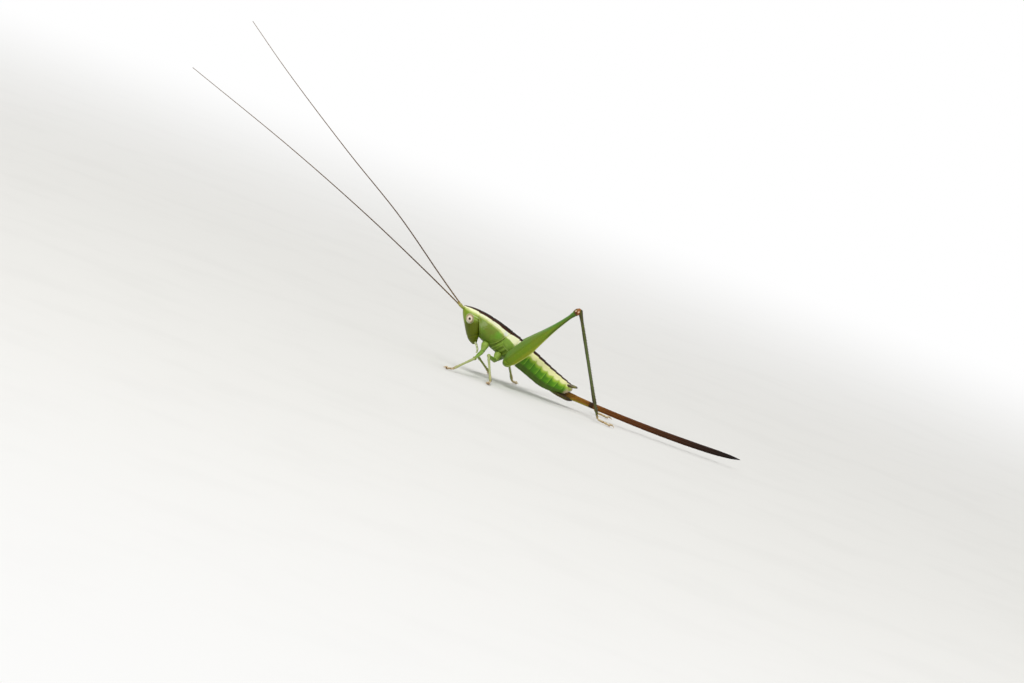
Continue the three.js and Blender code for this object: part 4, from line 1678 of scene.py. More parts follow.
@dataclass(frozen=True)
class Tail(Part):
    """The cerci, which are short cones that curve inwards, and the plate under the ovipositor."""

    cercus_root: Spot = (14.2, 0.5, -0.15)
    cercus_tip: Spot = (15.4, 0.72, 0.3)
    cercus_bend: float = 0.07
    cercus_rows: Rows = ((0, 0.07), (0.12, 0.14), (0.4, 0.145), (0.75, 0.1), (0.93, 0.05), (1, 0.015))
    plate_root: Spot = (12.7, 0, -1.74)
    plate_tip: Spot = (15.75, 0, -1.2)
    plate_rows: Rows = (
        (0, 0.1, 0.27), (0.25, 0.25, 0.49), (0.6, 0.3, 0.43), (0.88, 0.24, 0.29), (1, 0.05, 0.1),
    )
    plate_fit: float = 0.95
    plate_sides: int = 64

    def build(self) -> None:
        """Makes the cerci, and the keeled plate with a groove along each side."""
        horn = Horn(
            "cercus horn", ground="#2e2010",
            colours=((0.1, "#2e2010"), (0.3, "#4a3c1c"), (0.75, "#757038"), (0.97, "#33240f")),
        ).build()
        share = np.linspace(0, 1, 40)[:, None]
        root, tip = np.array(self.cercus_root), np.array(self.cercus_tip)
        route = root + share * (tip - root) - self.cercus_bend * share**3 * ACROSS
        (radius,) = read_rows(self.cercus_rows, share[:, 0])
        for side in Side:
            skin = swept(from_trunk(side.out(route)), ACROSS, radius, radius, 28)
            name, node = f"cercus_cone_{side.label}", f"cercus_{side.label}"
            self.maker.piece(name, [skin], [horn], "tail", node)
        plate = LimbCuticle(
            "genital plate cuticle", ground="#4c6415", middle="#4a3912", tip="#321d09",
            back="#2c1b0a", back_at=(0.0, 0.12), keel="#5a4a1a", keel_at=(-0.12, -0.22),
            joint="#2a180a",
        ).build()
        share = np.linspace(0, 1, 70)
        root, tip = np.array(self.plate_root), np.array(self.plate_tip)
        depth, width = read_rows(self.plate_rows, share) * self.plate_fit
        groove = -0.04 * ridge(np.cos(around(self.plate_sides)) ** 2 - 0.55, 0.12)
        lift = np.minimum(depth, 0.2)[:, None] / 0.2 * groove
        route = from_trunk(root + share[:, None] * (tip - root))
        skin = swept(route, ACROSS, depth, width, self.plate_sides, lift)
        self.maker.piece("under_plate", [skin], [plate], "blade", "genital_plate")


@dataclass(frozen=True)
class Ovipositor(Part):
    """The long blade, made of an upper and a lower valve with a groove between them.

    Its middle leaves the root towards aim and curves to the tip. The field lower_edge is 0 along
    the lower edge near the root.
    """

    root: Spot = (13.7, 0, -1.29)
    aim: Spot = (26, 0, 1.6)
    tip: Spot = (34.4, 0, 4.9)
    rows: Rows = (
        (0, 0.36, 0.36), (0.04, 0.41, 0.34), (0.07, 0.4, 0.27), (0.12, 0.35, 0.2), (0.25, 0.335, 0.17),
        (0.55, 0.36, 0.16), (0.78, 0.355, 0.14), (0.9, 0.295, 0.12), (0.96, 0.185, 0.08), (1, 0.03, 0.02),
    )
    fit: float = 0.96
    steps: int = 420
    sides: int = 72
    fold_gap: float = 0.0095
    fold_height: float = 0.02

    def blade(self) -> Skin:
        """The blade, with its groove and the swollen folds at its root.

        Returns:
            Its skin.
        """
        share = np.linspace(0, 1, 400)[:, None]
        root, aim, tip = np.array(self.root), np.array(self.aim), np.array(self.tip)
        arc = (1 - share) ** 2 * root + 2 * share * (1 - share) * aim + share**2 * tip
        route, along = from_trunk(evenly(arc, self.steps)), np.linspace(0, 1, self.steps)
        depth, width = read_rows(self.rows, along) * self.fit
        level = np.sin(around(self.sides))
        groove = -0.3 * ridge(level - 0.12, 0.13) - 0.12 * ridge(level + 0.62, 0.08)
        folds = np.sin(2 * np.pi * along / self.fold_gap) * (1 - eased(along, 0.01, 0.05))
        swell = self.fold_height * (folds - (1 - eased(along, 0, 0.05)))
        lift = groove * width[:, None] + swell[:, None]
        skin = swept(route, ACROSS, depth, width, self.sides, lift)
        half = np.concatenate([np.repeat(depth, self.sides), depth[[0, -1]]])
        low = skin.fields["place"][:, 1] + 0.72 * half
        skin.fields["lower_edge"] = low + 0.6 * eased(skin.fields["share"], 0.16, 0.3)
        return skin

    def build(self) -> None:
        """Makes the ovipositor piece."""
        finish = Horn(
            "ovipositor horn", ground="#4c3a10", gloss=0.1, wax=0.03,
            colours=(
                (0.06, "#765413"), (0.1, "#8e6218"), (0.2, "#7d4e11"), (0.3, "#693b0d"),
                (0.45, "#562e0b"), (0.6, "#412209"), (0.8, "#271407"), (0.97, "#100904"),
            ),
            marks=(
                band("#98902e", "lower_edge", 0.0, 0.16, 0.7),
                band("#2a1b07", "share", 0.193, 0.022, 0.92, 0.4, 0.006),
                Layer("#2a1b07", "share", 0.075, 0.035, 0.9, 0.4, 0.01),
            ),
        )
        self.maker.piece("ovipositor_blade", [self.blade()], [finish.build()], "blade", "ovipositor")


# Feelers and palps


@dataclass(frozen=True)
class Feelers(Part):
    """The two feelers: a thick first joint, a short second one and a very long thread of rings.

    Routes are in the floor frame. Base rows give a share of the base's length and its radius.
    The base starts at the socket in the head, which is measured from the start of the route.
    """

    left_route: Rows = (
        (-0.1, -0.36, 6.5), (-4.75, -1.4, 8.75), (-13.2, -4.3, 12.7), (-23.4, -7.8, 17),
        (-36.4, -12, 21.9),
    )
    right_route: Rows = (
        (-0.1, 0.36, 6.5), (-3.6, 1.2, 8.87), (-10.2, 3.4, 13.4), (-18.1, 6.2, 18), (-27.6, 9.7, 23.9),
        (-33.5, 12, 27.9),
    )
    base_rows: Rows = (
        (0, 0.07), (0.18, 0.1), (0.3, 0.125), (0.48, 0.135), (0.66, 0.13), (0.72, 0.105), (0.75, 0.085),
        (0.79, 0.095), (0.87, 0.1), (0.95, 0.095), (1, 0.07),
    )
    base_length: float = 0.95
    base_steps: int = 60
    socket: Spot = (0.24, -0.15, -0.1)
    route_steps: int = 2400
    end_gap: float = 0.65
    ring_length: float = 0.33
    ring_overlap: float = 1.05
    root_radius: float = 0.085
    tip_radius: float = 0.035

    def build(self) -> None:
        """Makes both feelers."""
        base_horn = Horn(
            "feeler base horn", ground="#86a032", colours=((0.6, "#a3a14e"), (0.95, "#8a7440"))
        ).build()
        thread_horn = Horn(
            "feeler thread horn", ground="#6d5632", colours=((0.12, "#4e3822"), (0.9, "#6b5133")),
            marks=(Layer("#8d7650", "collar", 0.2, 0.02, 0.7),),
        ).build()
        tree = thread_tree()
        for side, points in zip(Side, (self.left_route, self.right_route)):
            route = curve_through(points, self.route_steps)
            along = lengths(route)
            end = along[-1] - self.end_gap
            thread = route[(along > self.base_length * 0.97) & (along < end)]
            draft = bpy.data.meshes.new("route")
            draft.from_pydata(thread.tolist(), [(k, k + 1) for k in range(len(thread) - 1)], [])
            count = round((end - self.base_length) / self.ring_length)
            length = self.ring_length * self.ring_overlap
            values = (count, self.root_radius, self.tip_radius, length, thread_horn)
            name = f"feeler_rings_{side.label}"
            rings = grow_mesh(name, tree, values, draft)
            rings.polygons.foreach_set("use_smooth", [True] * len(rings.polygons))
            self.maker.piece(name, rings, [thread_horn], "feeler", f"feeler_{side.label}")
            root = route[0] + side.out(self.socket)
            base = evenly(np.vstack([root, route[along <= self.base_length]]), self.base_steps)
            (radius,) = read_rows(self.base_rows, np.linspace(0, 1, self.base_steps))
            skin = swept(base, ACROSS, radius, radius, 36)
            self.maker.piece(f"feeler_base_{side.label}", [skin], [base_horn], "feeler")


@dataclass(frozen=True)
class Palps(Part):
    """The jointed palps under the mouth: a long outer one and a short inner one a side.

    A palp gives how far it lies outside the route, its radius and the shares of the route where
    its joints are. Rows give a share of a segment and of the radius, which widens to a soft end.
    """

    route: Rows = ((3.3, 0.42, -2.5), (3.7, 0.62, -2.75), (4.05, 0.7, -3.05), (4.22, 0.66, -3.4))
    route_steps: int = 200
    palps: tuple[tuple[float, float, tuple[float, ...]], ...] = (
        (0.08, 0.095, (0, 0.2, 0.42, 0.7, 0.98)), (-0.11, 0.07, (0.05, 0.26, 0.5, 0.74)),
    )
    rows: Rows = ((0, 0.45), (0.15, 0.74), (0.6, 0.88), (0.88, 1), (0.97, 0.8), (1, 0.3))
    steps: int = 26

    def build(self) -> None:
        """Makes the palps of both sides."""
        finish = LimbCuticle(
            "palp cuticle", ground="#a9bd6c", middle="#c7cf9d", tip="#dcdcbd", back="#e2e4c8",
            back_at=(0.02, 0.09), keel="#b9c489", keel_at=(-0.04, -0.1), joint="#e6dfc4",
            joint_at=(0.8, 0.95), glow=0.3,
        ).build()
        (swell,) = read_rows(self.rows, np.linspace(0, 1, self.steps))
        for side in Side:
            skins = []
            for aside, radius, joints in self.palps:
                middle = curve_through(side.out(self.route + aside * ACROSS), self.route_steps)
                for ends in zip(joints[:-1], joints[1:]):
                    first, last = (round(share * (self.route_steps - 1)) for share in ends)
                    part = evenly(from_trunk(middle[first : last + 2]), self.steps)
                    skins.append(swept(part, ACROSS, radius * swell, radius * swell, 24))
            name, node = f"palp_joints_{side.label}", f"palp_{side.label}"
            self.maker.piece(name, skins, [finish], "palp", node)


# Legs


class Pair(Enum):
    """The three pairs of legs, from the front."""

    FORE = "fore"
    MIDDLE = "middle"
    HIND = "hind"


# The joints of the left and the right leg of each pair, in the floor frame, with y measured outwards.
JOINTS: dict[Pair, dict[str, Rows]] = {
    Pair.FORE: {
        "coxa": ((3.6, 0.72, 3.62), (3.6, 0.72, 3.62)),
        "hip": ((3.55, 1.25, 2.8), (3.6, 1.25, 2.8)),
        "knee": ((3, 3.95, 2), (3.2, 3.7, 1.75)),
        "ankle": ((1.25, 5.55, 0.36), (5, 5.35, 0.36)),
        "toe": ((0.25, 6.25, 0.2), (5, 6.6, 0.2)),
    },
    Pair.MIDDLE: {
        "coxa": ((5.3, 0.76, 3.02), (5.3, 0.76, 3.02)),
        "hip": ((5.2, 1.3, 2.32), (5.3, 1.3, 2.32)),
        "knee": ((4.35, 4.05, 2.85), (6.3, 3.95, 2.9)),
        "ankle": ((5.5, 5.55, 0.36), (7.7, 5.35, 0.36)),
        "toe": ((5.25, 6.85, 0.2), (8.35, 6.45, 0.2)),
    },
    Pair.HIND: {
        "coxa": ((6.75, 0.8, 2.75), (6.75, 0.8, 2.75)),
        "hip": ((6.3, 1.92, 2.5), (6.3, 1.92, 2.5)),
        "knee": ((12.1, 3.6, 11), (12.1, 3.7, 10.37)),
        "ankle": ((17.9, 3.9, 0.42), (17.56, 4, 0.42)),
        "toe": ((19.95, 4.3, 0.2), (19.6, 4.45, 0.2)),
    },
}


@dataclass(frozen=True)
class SpineRow:
    """A row of equal spines on each side of a shin.

    First and last are the shares of the shin where the two rows begin and end. Turn is in degrees
    round from the middle of the shin's back, and lean runs from 0 upright to 1 towards the foot.
    """

    count: int
    first: Span
    last: Span
    length: float
    turn: float
    lean: float = 0.62


@dataclass(frozen=True)
class Leg(Part):
    """One walking leg: coxa, thigh, shin and a foot of four joints with two claws.

    The trees grow spines and hairs, and the leg's number seeds its hairs. The hairs are 0.01 mm
    thick, about twice as thick as real ones, so that they show. Pad rows give a share of a foot
    joint and how full it is there, from 0 to 1.
    """

    looks: Mapping[str, Material]
    trees: tuple[NodeTree, NodeTree]
    pair: Pair
    side: Side
    number: int
    coxa_rows: Rows = (
        (0, 0.16, 0.16), (0.06, 0.3, 0.3), (0.2, 0.42, 0.42), (0.42, 0.42, 0.4), (0.6, 0.36, 0.34),
        (0.76, 0.29, 0.28), (0.86, 0.25, 0.24), (0.89, 0.23, 0.22), (0.94, 0.24, 0.23), (1, 0.17, 0.17),
    )
    coxa_depth: Spot = (0.18, 0.3, 0.3)
    femur_rows: Rows = (
        (0, 0.14, 0.14), (0.05, 0.21, 0.2), (0.2, 0.24, 0.225), (0.55, 0.21, 0.195), (0.84, 0.17, 0.16),
        (0.94, 0.21, 0.185), (0.985, 0.17, 0.15), (1, 0.09, 0.09),
    )
    tibia_rows: Rows = (
        (0, 0.1, 0.1), (0.03, 0.16, 0.15), (0.08, 0.15, 0.14), (0.14, 0.19, 0.155), (0.24, 0.15, 0.135),
        (0.7, 0.125, 0.12), (0.94, 0.145, 0.14), (1, 0.1, 0.1),
    )
    spine_rows: tuple[SpineRow, ...] = (
        SpineRow(7, (0.3, 0.34), (0.9, 0.94), 0.2, 145),
        SpineRow(2, (0.97, 0.97), (0.985, 0.985), 0.2, 100, 0.8),
    )
    spine_sides: int = 8
    spine_thickness: float = 0.1
    lobe: float = 0.035
    foot_joints: tuple[float, ...] = (0.02, 0.36, 0.52, 0.74)
    foot_widths: tuple[float, ...] = (0.13, 0.14, 0.22)
    pad_rows: Rows = ((0, 0.35), (0.15, 0.62), (0.7, 1), (0.92, 0.9), (1, 0.45))
    stem_rows: Rows = ((0, 0.05), (0.2, 0.065), (0.85, 0.08), (1, 0.05))
    sole: float = 0.012
    claw_floor: float = 0.03
    hair_density: float = 26.0
    hair_length: float = 0.085
    hair_radius: float = 0.005

    def joint(self, label: str) -> Array:
        """The place of a joint in the floor frame."""
        return self.side.out(JOINTS[self.pair][label][self.side is Side.RIGHT])

    def bend_side(self) -> Array:
        """The direction at right angles to the plane of the thigh and the shin."""
        hip, knee, ankle = (self.joint(label) for label in ("hip", "knee", "ankle"))
        return unit(np.cross(knee - hip, ankle - knee))

    def between(self, start: str, end: str, rows: Rows, lift: Array) -> Skin:
        """A straight part of the leg.

        Args:
            start: its first joint.
            end: its last joint.
            rows: its rows.
            lift: how far the surface stands out, by ring and place in the ring.

        Returns:
            Its skin, with the field lie, which its hairs follow.
        """
        steps, sides = lift.shape
        share = crowded(steps)
        root, tip = self.joint(start), self.joint(end)
        if start == "coxa":
            root = root - unit(tip - root) * self.coxa_depth
        route = root + share[:, None] * (tip - root)
        skin = swept(route, self.bend_side(), *read_rows(rows, share), sides, lift)
        skin.fields["lie"] = np.broadcast_to(unit(tip - root) * 1.1, skin.points.shape)
        return skin

    def femur(self) -> Skin:
        """The thigh, with a groove under it and a lobe on each side of the knee.

        Returns:
            Its skin.
        """
        share, level, aside = grid(110, 48)
        lift = self.lobe * ridge(share - 0.955, 0.03) * eased(aside, 0.55, 0.85)
        lift = lift - 1.3 * self.lobe * ridge(level + 1, 0.12) * eased(share, 0.3, 0.9)
        lift = lift - 0.5 * self.lobe * ridge(share - 0.895, 0.014)
        return self.between("hip", "knee", self.femur_rows, lift)

    def tibia(self) -> Skin:
        """The shin, with hearing slits near the knee of a front leg.

        Returns:
            Its skin.
        """
        share, level, aside = grid(130, 40)
        lift = -0.015 * ridge(level - 1, 0.1) - 0.02 * ridge(share - 0.965, 0.008)
        if self.pair is Pair.FORE:
            lift = lift - 0.06 * ridge(share - 0.14, 0.05) * ridge(aside - 0.97, 0.06)
        return self.between("knee", "ankle", self.tibia_rows, lift)

    def foot(self) -> list[Skin]:
        """The foot's four joints and its two claws, which wear the second finish.

        Returns:
            A skin for each.
        """
        root, tip = self.joint("ankle"), self.joint("toe")
        way, length = unit(tip - root), float(np.linalg.norm(tip - root))
        level = unit(np.cross(UPRIGHT, way))
        stops = [root + way * length * share for share in self.foot_joints]
        skins = [self.pad(*sizes) for sizes in zip(stops[:-1], stops[1:], self.foot_widths)]
        share = np.linspace(0, 1, 30)
        start = self.foot_joints[-1] - 0.09
        stem = root + way * length * (start + (0.9 - start) * share)[:, None]
        stem = stem + UPRIGHT * (0.03 + 0.05 * np.sin(np.pi * share))[:, None]
        (radius,) = read_rows(self.stem_rows, share)
        skins.append(swept(stem, level, radius, radius, 20))
        reach = min(0.17, 0.13 * length)
        return skins + [self.claw(stem[-1], way, level * sign, reach) for sign in (-1, 1)]

    def pad(self, start: Array, end: Array, width: float) -> Skin:
        """One broad joint of the foot, close to the floor.

        Args:
            start: where it starts.
            end: where the next one starts.
            width: half its greatest width.

        Returns:
            Its skin.
        """
        share = np.linspace(0, 1, 26)
        way = unit(end - start)
        route = start + share[:, None] * (end - start + 0.06 * way)
        (swell,) = read_rows(self.pad_rows, share)
        depth = 0.13 * (0.45 + 0.55 * swell)
        route[:, 2] = np.maximum(route[:, 2] - 0.05, depth + self.sole)
        return swept(route, unit(np.cross(UPRIGHT, way)), depth, width * swell, 28)

    def claw(self, root: Array, way: Array, out: Array, reach: float) -> Skin:
        """One hooked claw.

        Args:
            root: where it starts.
            way: the foot's direction.
            out: the side that it spreads to.
            reach: how far it reaches.

        Returns:
            Its skin.
        """
        share = np.linspace(0, 1, 22)
        turn = share * 1.5
        route = root + way * (reach * np.sin(turn))[:, None]
        route += out * (0.02 + 0.8 * reach * share**0.8)[:, None]
        route -= UPRIGHT * (0.7 * reach * (1 - np.cos(turn)))[:, None]
        route[:, 2] = np.maximum(route[:, 2], self.claw_floor)
        radius = 0.04 * (1 - share**1.6) + 0.006
        return replace(swept(route, np.cross(way, out), radius, radius, 14), finish=1)

    def spine_points(self) -> Mesh:
        """A point for each spine of the shin.

        Returns:
            The points, with the fields way and length.
        """
        root, tip = self.joint("knee"), self.joint("ankle")
        way = unit(tip - root)
        up = unit(np.cross(way, self.bend_side()))
        across = np.cross(up, way)
        roots, ways, sizes = [], [], []
        for row in self.spine_rows:
            for sign, first, last in zip((1, -1), row.first, row.last):
                turn = math.radians(sign * row.turn)
                out = up * math.cos(turn) + across * math.sin(turn)
                for share in np.linspace(first, last, row.count):
                    depth, width = read_rows(self.tibia_rows, share)
                    hold = 0.85 * math.hypot(depth * math.cos(turn), width * math.sin(turn))
                    roots.append(root + share * (tip - root) + out * hold)
                    ways.append(unit(out * (1 - row.lean) + way * row.lean))
                    sizes.append(row.length)
        draft = bpy.data.meshes.new("spine_points")
        draft.from_pydata(np.array(roots).tolist(), [], [])
        set_field(draft, "way", np.array(ways))
        set_field(draft, "length", np.array(sizes))
        return draft

    def build(self) -> None:
        """Makes the leg's pieces."""
        looks, (spine_maker, hair_maker) = self.looks, self.trees
        name = f"{self.pair.value}_{self.side.label}"
        coxa = self.between("coxa", "hip", self.coxa_rows, np.zeros((60, 48)))
        parts = {"coxa": coxa, "femur": self.femur(), "tibia": self.tibia()}
        for part, skin in parts.items():
            slot, node = "shin" if part == "tibia" else "leg", f"{name}_{part}"
            self.maker.piece(f"{node}_cuticle", [skin], [looks[part]], slot, node)
        finishes = [looks["foot"], looks["claw"]]
        self.maker.piece(f"{name}_foot_joints", self.foot(), finishes, "foot", f"{name}_foot")
        values = (self.spine_sides, self.spine_thickness, looks["spine"])
        spines = grow_mesh(f"{name}_spines", spine_maker, values, self.spine_points())
        self.maker.piece(f"{name}_spines", spines, [looks["spine"]], "shin")
        values = (self.hair_density, self.number, self.hair_length, self.hair_radius, looks["hair"])
        limb = self.maker.draft("limb", [parts["femur"], parts["tibia"]])
        hairs = grow_mesh(f"{name}_hairs", hair_maker, values, limb)
        map_roots(hairs)
        self.maker.piece(f"{name}_hairs", hairs, [looks["hair"]], "leg")


@dataclass(frozen=True)
class HindLeg(Leg):
    """A jumping leg: a deep flat thigh with keeled edges, and a long thorny shin.

    The pale spots beside the knee joint are painted highlights. For each, a row gives the share
    of the thigh and its height.
    """

    coxa_rows: Rows = (
        (0, 0.1, 0.1), (0.08, 0.34, 0.34), (0.24, 0.49, 0.49), (0.48, 0.55, 0.53), (0.66, 0.52, 0.49),
        (0.82, 0.42, 0.4), (0.88, 0.34, 0.33), (0.94, 0.34, 0.33), (1, 0.25, 0.25),
    )
    femur_rows: Rows = (
        (0, 0.36, 0.26), (0.06, 0.7, 0.38), (0.16, 0.86, 0.45), (0.27, 0.885, 0.46), (0.4, 0.71, 0.4),
        (0.55, 0.475, 0.31), (0.7, 0.3, 0.235), (0.8, 0.24, 0.2), (0.88, 0.235, 0.2), (0.93, 0.33, 0.26),
        (0.965, 0.36, 0.28), (1, 0.17, 0.15),
    )
    tibia_rows: Rows = (
        (0, 0.12, 0.12), (0.012, 0.2, 0.17), (0.03, 0.19, 0.16), (0.07, 0.15, 0.135), (0.3, 0.135, 0.125),
        (0.7, 0.125, 0.12), (0.95, 0.15, 0.145), (1, 0.11, 0.11),
    )
    spine_rows: tuple[SpineRow, ...] = (
        SpineRow(30, (0.14, 0.15), (0.93, 0.94), 0.24, 38),
        SpineRow(11, (0.42, 0.44), (0.93, 0.94), 0.13, 150),
        SpineRow(2, (0.972, 0.972), (0.985, 0.985), 0.24, 75, 0.85),
        SpineRow(1, (0.98, 0.98), (0.98, 0.98), 0.2, 165, 0.85),
    )
    knee_highlights: Rows = ((0.955, 0.15), (0.972, -0.12))
    chevrons: int = 28
    lobe: float = 0.05
    foot_widths: tuple[float, ...] = (0.14, 0.15, 0.23)
    hair_density: float = 14.0

    def femur(self) -> Skin:
        """The jumping thigh, with keels above and below its outer face and knee lobes.

        Returns:
            Its skin. The field hem is 1 on the thin line along the lower edge, and a field of its own
            is 1 in the pale spots beside the knee joint, which are painted highlights. Slope runs
            from -1 under the thin end to 1 on top of it, and the finish paints shade where it is
            below 0. The field low_knee rises towards the knee and downwards.
        """
        share, level, aside = grid(220, 88)
        thick = eased(share, 0.02, 0.12) * (1 - eased(share, 0.86, 0.93))
        keels = ridge(level - 0.8, 0.07) + ridge(level + 0.78, 0.07)
        lift = 0.022 * thick * keels - 0.025 * thick * ridge(level, 0.3)
        lift -= 0.07 * ridge(level + 1, 0.02) * eased(share, 0.15, 0.4)
        bones = np.cos(2 * np.pi * (self.chevrons * share + 0.9 * np.abs(level)))
        lift += 0.006 * thick * bones * (1 - eased(np.abs(level), 0.5, 0.75))
        lift += self.lobe * ridge(share - 0.962, 0.022) * eased(aside, 0.5, 0.85)
        lift -= 0.04 * ridge(share - 0.918, 0.01) + 0.05 * ridge(share - 0.028, 0.012)
        skin = self.between("hip", "knee", self.femur_rows, lift)
        share, (_, level, aside) = skin.fields["share"], xyz(skin.fields["place"])
        # Spots of painted highlight beside the knee joint.
        spots = [ridge(share - at, 0.011) * ridge(level - up, 0.085) for at, up in self.knee_highlights]
        height = level / read_rows(self.femur_rows, share)[0]
        thin = eased(share, 0.42, 0.68) * (1 - eased(share, 0.91, 0.93))
        skin.fields |= {
            "condyle": sum(spots) * eased(np.abs(aside), 0.1, 0.18),
            "hem": ridge(height + 0.93, 0.07) * (1 - eased(share, 0.6, 0.85)),
            # Below 0 under the thin end, where the finish paints shade.
            "slope": np.clip(height, -1, 1) * thin,
            "low_knee": share - 0.07 * level,
        }
        return skin


def grid(steps: int, sides: int) -> tuple[Array, Array, Array]:
    """Where a limb's points lie: their share of its length, how high in the ring, and how far aside."""
    angle = around(sides)[None, :]
    return crowded(steps)[:, None], np.sin(angle), np.abs(np.cos(angle))


def map_roots(mesh: Mesh) -> None:
    """Gives strewn hairs a map for their colours: a small patch for each, by its root.

    Args:
        mesh: the hairs, whose field root holds the place of each one's root.
    """
    x, y, z = xyz(get_vectors(mesh.attributes["root"].data, "vector"))
    flat = np.stack([x + 0.37 * y, z - 0.41 * y], axis=-1)
    low, high = flat.min(axis=0), flat.max(axis=0)
    spread = 0.01 + 0.98 * (flat - low) / np.maximum(high - low, TINY)
    turn = 2 * np.pi * (np.arange(len(flat)) % 5) / 5
    spread += 0.0015 * np.stack([np.cos(turn), np.sin(turn)], axis=-1)
    corners = np.zeros(len(mesh.loops), np.int32)
    mesh.loops.foreach_get("vertex_index", corners)
    layer = mesh.uv_layers.new(name="OFBake")
    layer.uv.foreach_set("vector", spread[corners].astype(np.float32).ravel())


@dataclass(frozen=True)
class Legs(Part):
    """All six legs and the finishes they share."""

    def looks(self, pair: Pair) -> dict[str, Material]:
        """The finishes of one pair of legs.

        Args:
            pair: the pair.

        Returns:
            A material for each part of the leg.
        """
        hind = pair is Pair.HIND
        thigh = LimbCuticle(
            f"{pair.value} thigh cuticle", ground="#678a22", middle="#6c942a", tip="#749a36",
            back="#93b456", back_at=(0.05, 0.2), keel="#738a22", keel_at=(-0.1, -0.2),
            joint="#8c9c4c", glow=0.2,
        )
        if hind:
            thigh = replace(
                thigh, ground="#6c8a0a", middle="#6e8c0e", tip="#456a18", back="#608436",
                back_at=(0.12, 0.5), keel="#8c9814", keel_at=(-0.32, -0.62), joint="#5e2f14",
                joint_at=(0.92, 0.94),
                marks=(
                    band("#557813", "Y", 0.2, 0.1, 0.55, 0.5, 0.03),
                    cloud("#7d7a26", 0.8, 0.3),
                    Layer("#4f8440", "slope", 0.05, 0.7, 0.55),
                    # Darker under the thin end of the thigh: painted shade.
                    Layer("#47580f", "slope", -0.05, -0.6, 0.7),
                    Layer("#c3cb62", "hem", 0.3, 0.9, 0.75),
                    Layer("#9a5c22", "low_knee", 0.95, 0.965, 0.8),
                    # Pale pinkish spots beside the knee joint: painted highlights.
                    Layer("#e3c3a8", "condyle", 0.25, 0.7),
                ),
            )
        shin = LimbCuticle(
            f"{pair.value} shin cuticle", ground="#93aa5c", middle="#a3ad6e", tip="#b29a72",
            back="#aeb67c", back_at=(0.04, 0.11), keel="#8f9a50", keel_at=(-0.05, -0.12),
            joint="#b59f6c", joint_at=(0.96, 0.99),
        )
        if hind:
            shin = replace(
                shin, ground="#4c4c22", middle="#5c6a3c", tip="#4d4b26", back="#302a14", keel="#38351a",
            )
        finishes = {
            "coxa": LimbCuticle(
                f"{pair.value} coxa cuticle", ground="#84a03a", middle="#8ea845", tip="#93ad50",
                back_at=(0.3, 0.3), keel_at=(-0.3, -0.45),
            ),
            "femur": thigh,
            "tibia": shin,
            "foot": LimbCuticle(
                f"{pair.value} foot cuticle", ground="#c0aa7c", middle="#c2ad8a", tip="#b08e68",
                back="#d3c5aa", back_at=(0.02, 0.1), keel="#a0845c", keel_at=(-0.04, -0.1),
                joint="#85613c",
            ),
        }
        for part, ground, share, tip in (
            ("claw", "#a2763c", 0.9, "#4a2a12"),
            ("spine", "#7d7145", 0.8, "#2e2416"),
            ("hair", "#b9b184", 1.0, "#b9b184"),
        ):
            name = f"{pair.value} {part} horn"
            finishes[part] = Horn(name, ground=ground, colours=((share, tip),))
        return {part: finish.build() for part, finish in finishes.items()}

    def build(self) -> None:
        """Makes the six legs, numbered from 1."""
        trees = spine_tree(), hair_tree()
        for place, pair in enumerate(Pair):
            looks = self.looks(pair)
            kind = HindLeg if pair is Pair.HIND else Leg
            for number, side in enumerate(Side, 1 + 2 * place):
                kind(self.maker, looks, trees, pair, side, number).build()


# Studio


@dataclass(frozen=True)
class Lamp:
    """A soft square lamp, with its power in watts and its width in metres.

    It stands at an azimuth round the insect, 0 being the camera's side, and at a height over the
    horizon, both in degrees.
    """

    name: str
    azimuth: float
    height: float
    power: float
    size: float


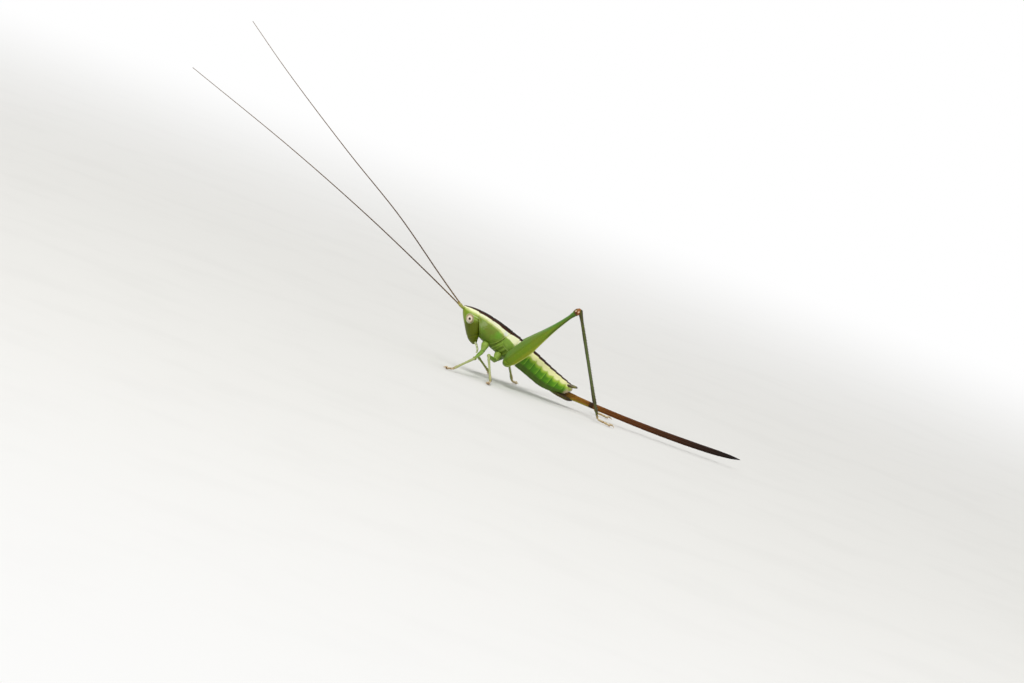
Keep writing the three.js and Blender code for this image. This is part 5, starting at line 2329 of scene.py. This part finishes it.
@dataclass(frozen=True)
class Studio(Part):
    """A pale floor, soft lamps, a white background and the camera.

    The camera's sizes are in millimetres, and those of the floor and the lamps in metres. The
    camera is rolled by the slope that the insect stood on.
    """

    aim: Spot = (6.23, 0, 4.86)
    distance: float = 600.0
    elevation: float = math.radians(4.5)
    roll: float = math.radians(20.0)
    frame_width: float = 112.64
    sensor: float = 36.0
    floor_size: float = 6.0
    ambient: float = 0.34
    lamp_distance: float = 0.7
    lamps: tuple[Lamp, ...] = (
        Lamp("key_lamp", -30, 58, 2.9, 0.3),
        Lamp("fill_lamp", 35, 25, 0.7, 0.5),
        Lamp("back_lamp", 180, 50, 1.2, 0.4),
    )

    def camera(self) -> None:
        """A long lens at the side of the insect."""
        out = np.array([0.0, -math.cos(self.elevation), math.sin(self.elevation)])
        place = self.maker.in_metres(np.array(self.aim) + self.distance * out)
        level = np.array([1.0, 0.0, 0.0])
        upright = np.cross(out, level)
        cos, sin = math.cos(self.roll), math.sin(self.roll)
        axes = level * cos + upright * sin, upright * cos - level * sin, out
        lens = bpy.data.cameras.new("camera")
        lens.sensor_width = self.sensor
        lens.lens = self.sensor * self.distance / self.frame_width
        lens.clip_start = 0.01
        seen = in_scene("camera", lens)
        turn = Matrix([Vector(axis) for axis in axes]).transposed().to_4x4()
        seen.matrix_world = Matrix.Translation(Vector(place)) @ turn
        bpy.context.scene.camera = seen

    def light(self) -> None:
        """The lamps, all aimed at the insect."""
        middle = Vector(self.maker.in_metres(np.array(self.aim)))
        for lamp in self.lamps:
            data = bpy.data.lights.new(lamp.name, "AREA")
            data.energy, data.size = lamp.power, lamp.size
            azimuth, height = math.radians(lamp.azimuth), math.radians(lamp.height)
            flat = Vector((math.sin(azimuth), -math.cos(azimuth), 0)) * math.cos(height)
            way = flat + Vector((0, 0, math.sin(height)))
            made = in_scene(lamp.name, data)
            made.location = middle + way * self.lamp_distance
            made.rotation_euler = way.to_track_quat("Z", "Y").to_euler()

    def background(self) -> None:
        """A world that is white where it is seen, and gives a softer even light."""
        world = bpy.data.worlds.new("studio")
        bpy.context.scene.world = world
        world.use_nodes = True
        tree = world.node_tree
        path = add_node(tree, "ShaderNodeLightPath").outputs
        seen = path["Is Camera Ray"]
        for ray in ("Is Glossy Ray", "Is Transmission Ray"):
            seen = add_node(tree, "ShaderNodeMath", {0: seen, 1: path[ray]}, operation="MAXIMUM")
        light = add_node(tree, "ShaderNodeMapRange", {"Value": seen, "To Min": self.ambient, "To Max": 1.0})
        connect(tree, tree.nodes["Background"], {"Color": (1, 1, 1, 1), "Strength": light})

    def floor(self) -> None:
        """The floor that the insect stands on."""
        half = self.floor_size / 2
        corners = [(-half, -half, 0), (half, -half, 0), (half, half, 0), (-half, half, 0)]
        mesh = bpy.data.meshes.new("studio_floor")
        mesh.from_pydata(corners, [], [(0, 1, 2, 3)])
        set_field(mesh, "place", np.array(corners) / MM)
        mesh.materials.append(StudioFloor("painted board").build())
        in_scene("studio_floor", mesh)

    def build(self) -> None:
        """Sets up the studio."""
        self.floor()
        self.light()
        self.background()
        self.camera()
        bpy.context.scene.view_settings.view_transform = "Standard"


# The insect


def main() -> None:
    """Builds the studio and the insect, with the eyes where the solids have them."""
    logging.basicConfig(level=logging.INFO, format="%(message)s")
    corners = [tuple(corner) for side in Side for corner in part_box(f"eye_{side.label}")]
    gap = np.mean(corners, axis=0) / MM - from_trunk(np.array(Head.eye_centre) * (1, 0, 1))
    maker = Maker((float(gap[0]), float(gap[1])))
    head = Head(maker)
    kinds = (Feelers, Palps, Pronotum, Thorax, WingPads, Abdomen, Tail, Ovipositor, Legs)
    for part in (Studio(maker), head, Eyes(maker, head), *(kind(maker) for kind in kinds)):
        part.build()


if __name__ == "__main__":
    main()
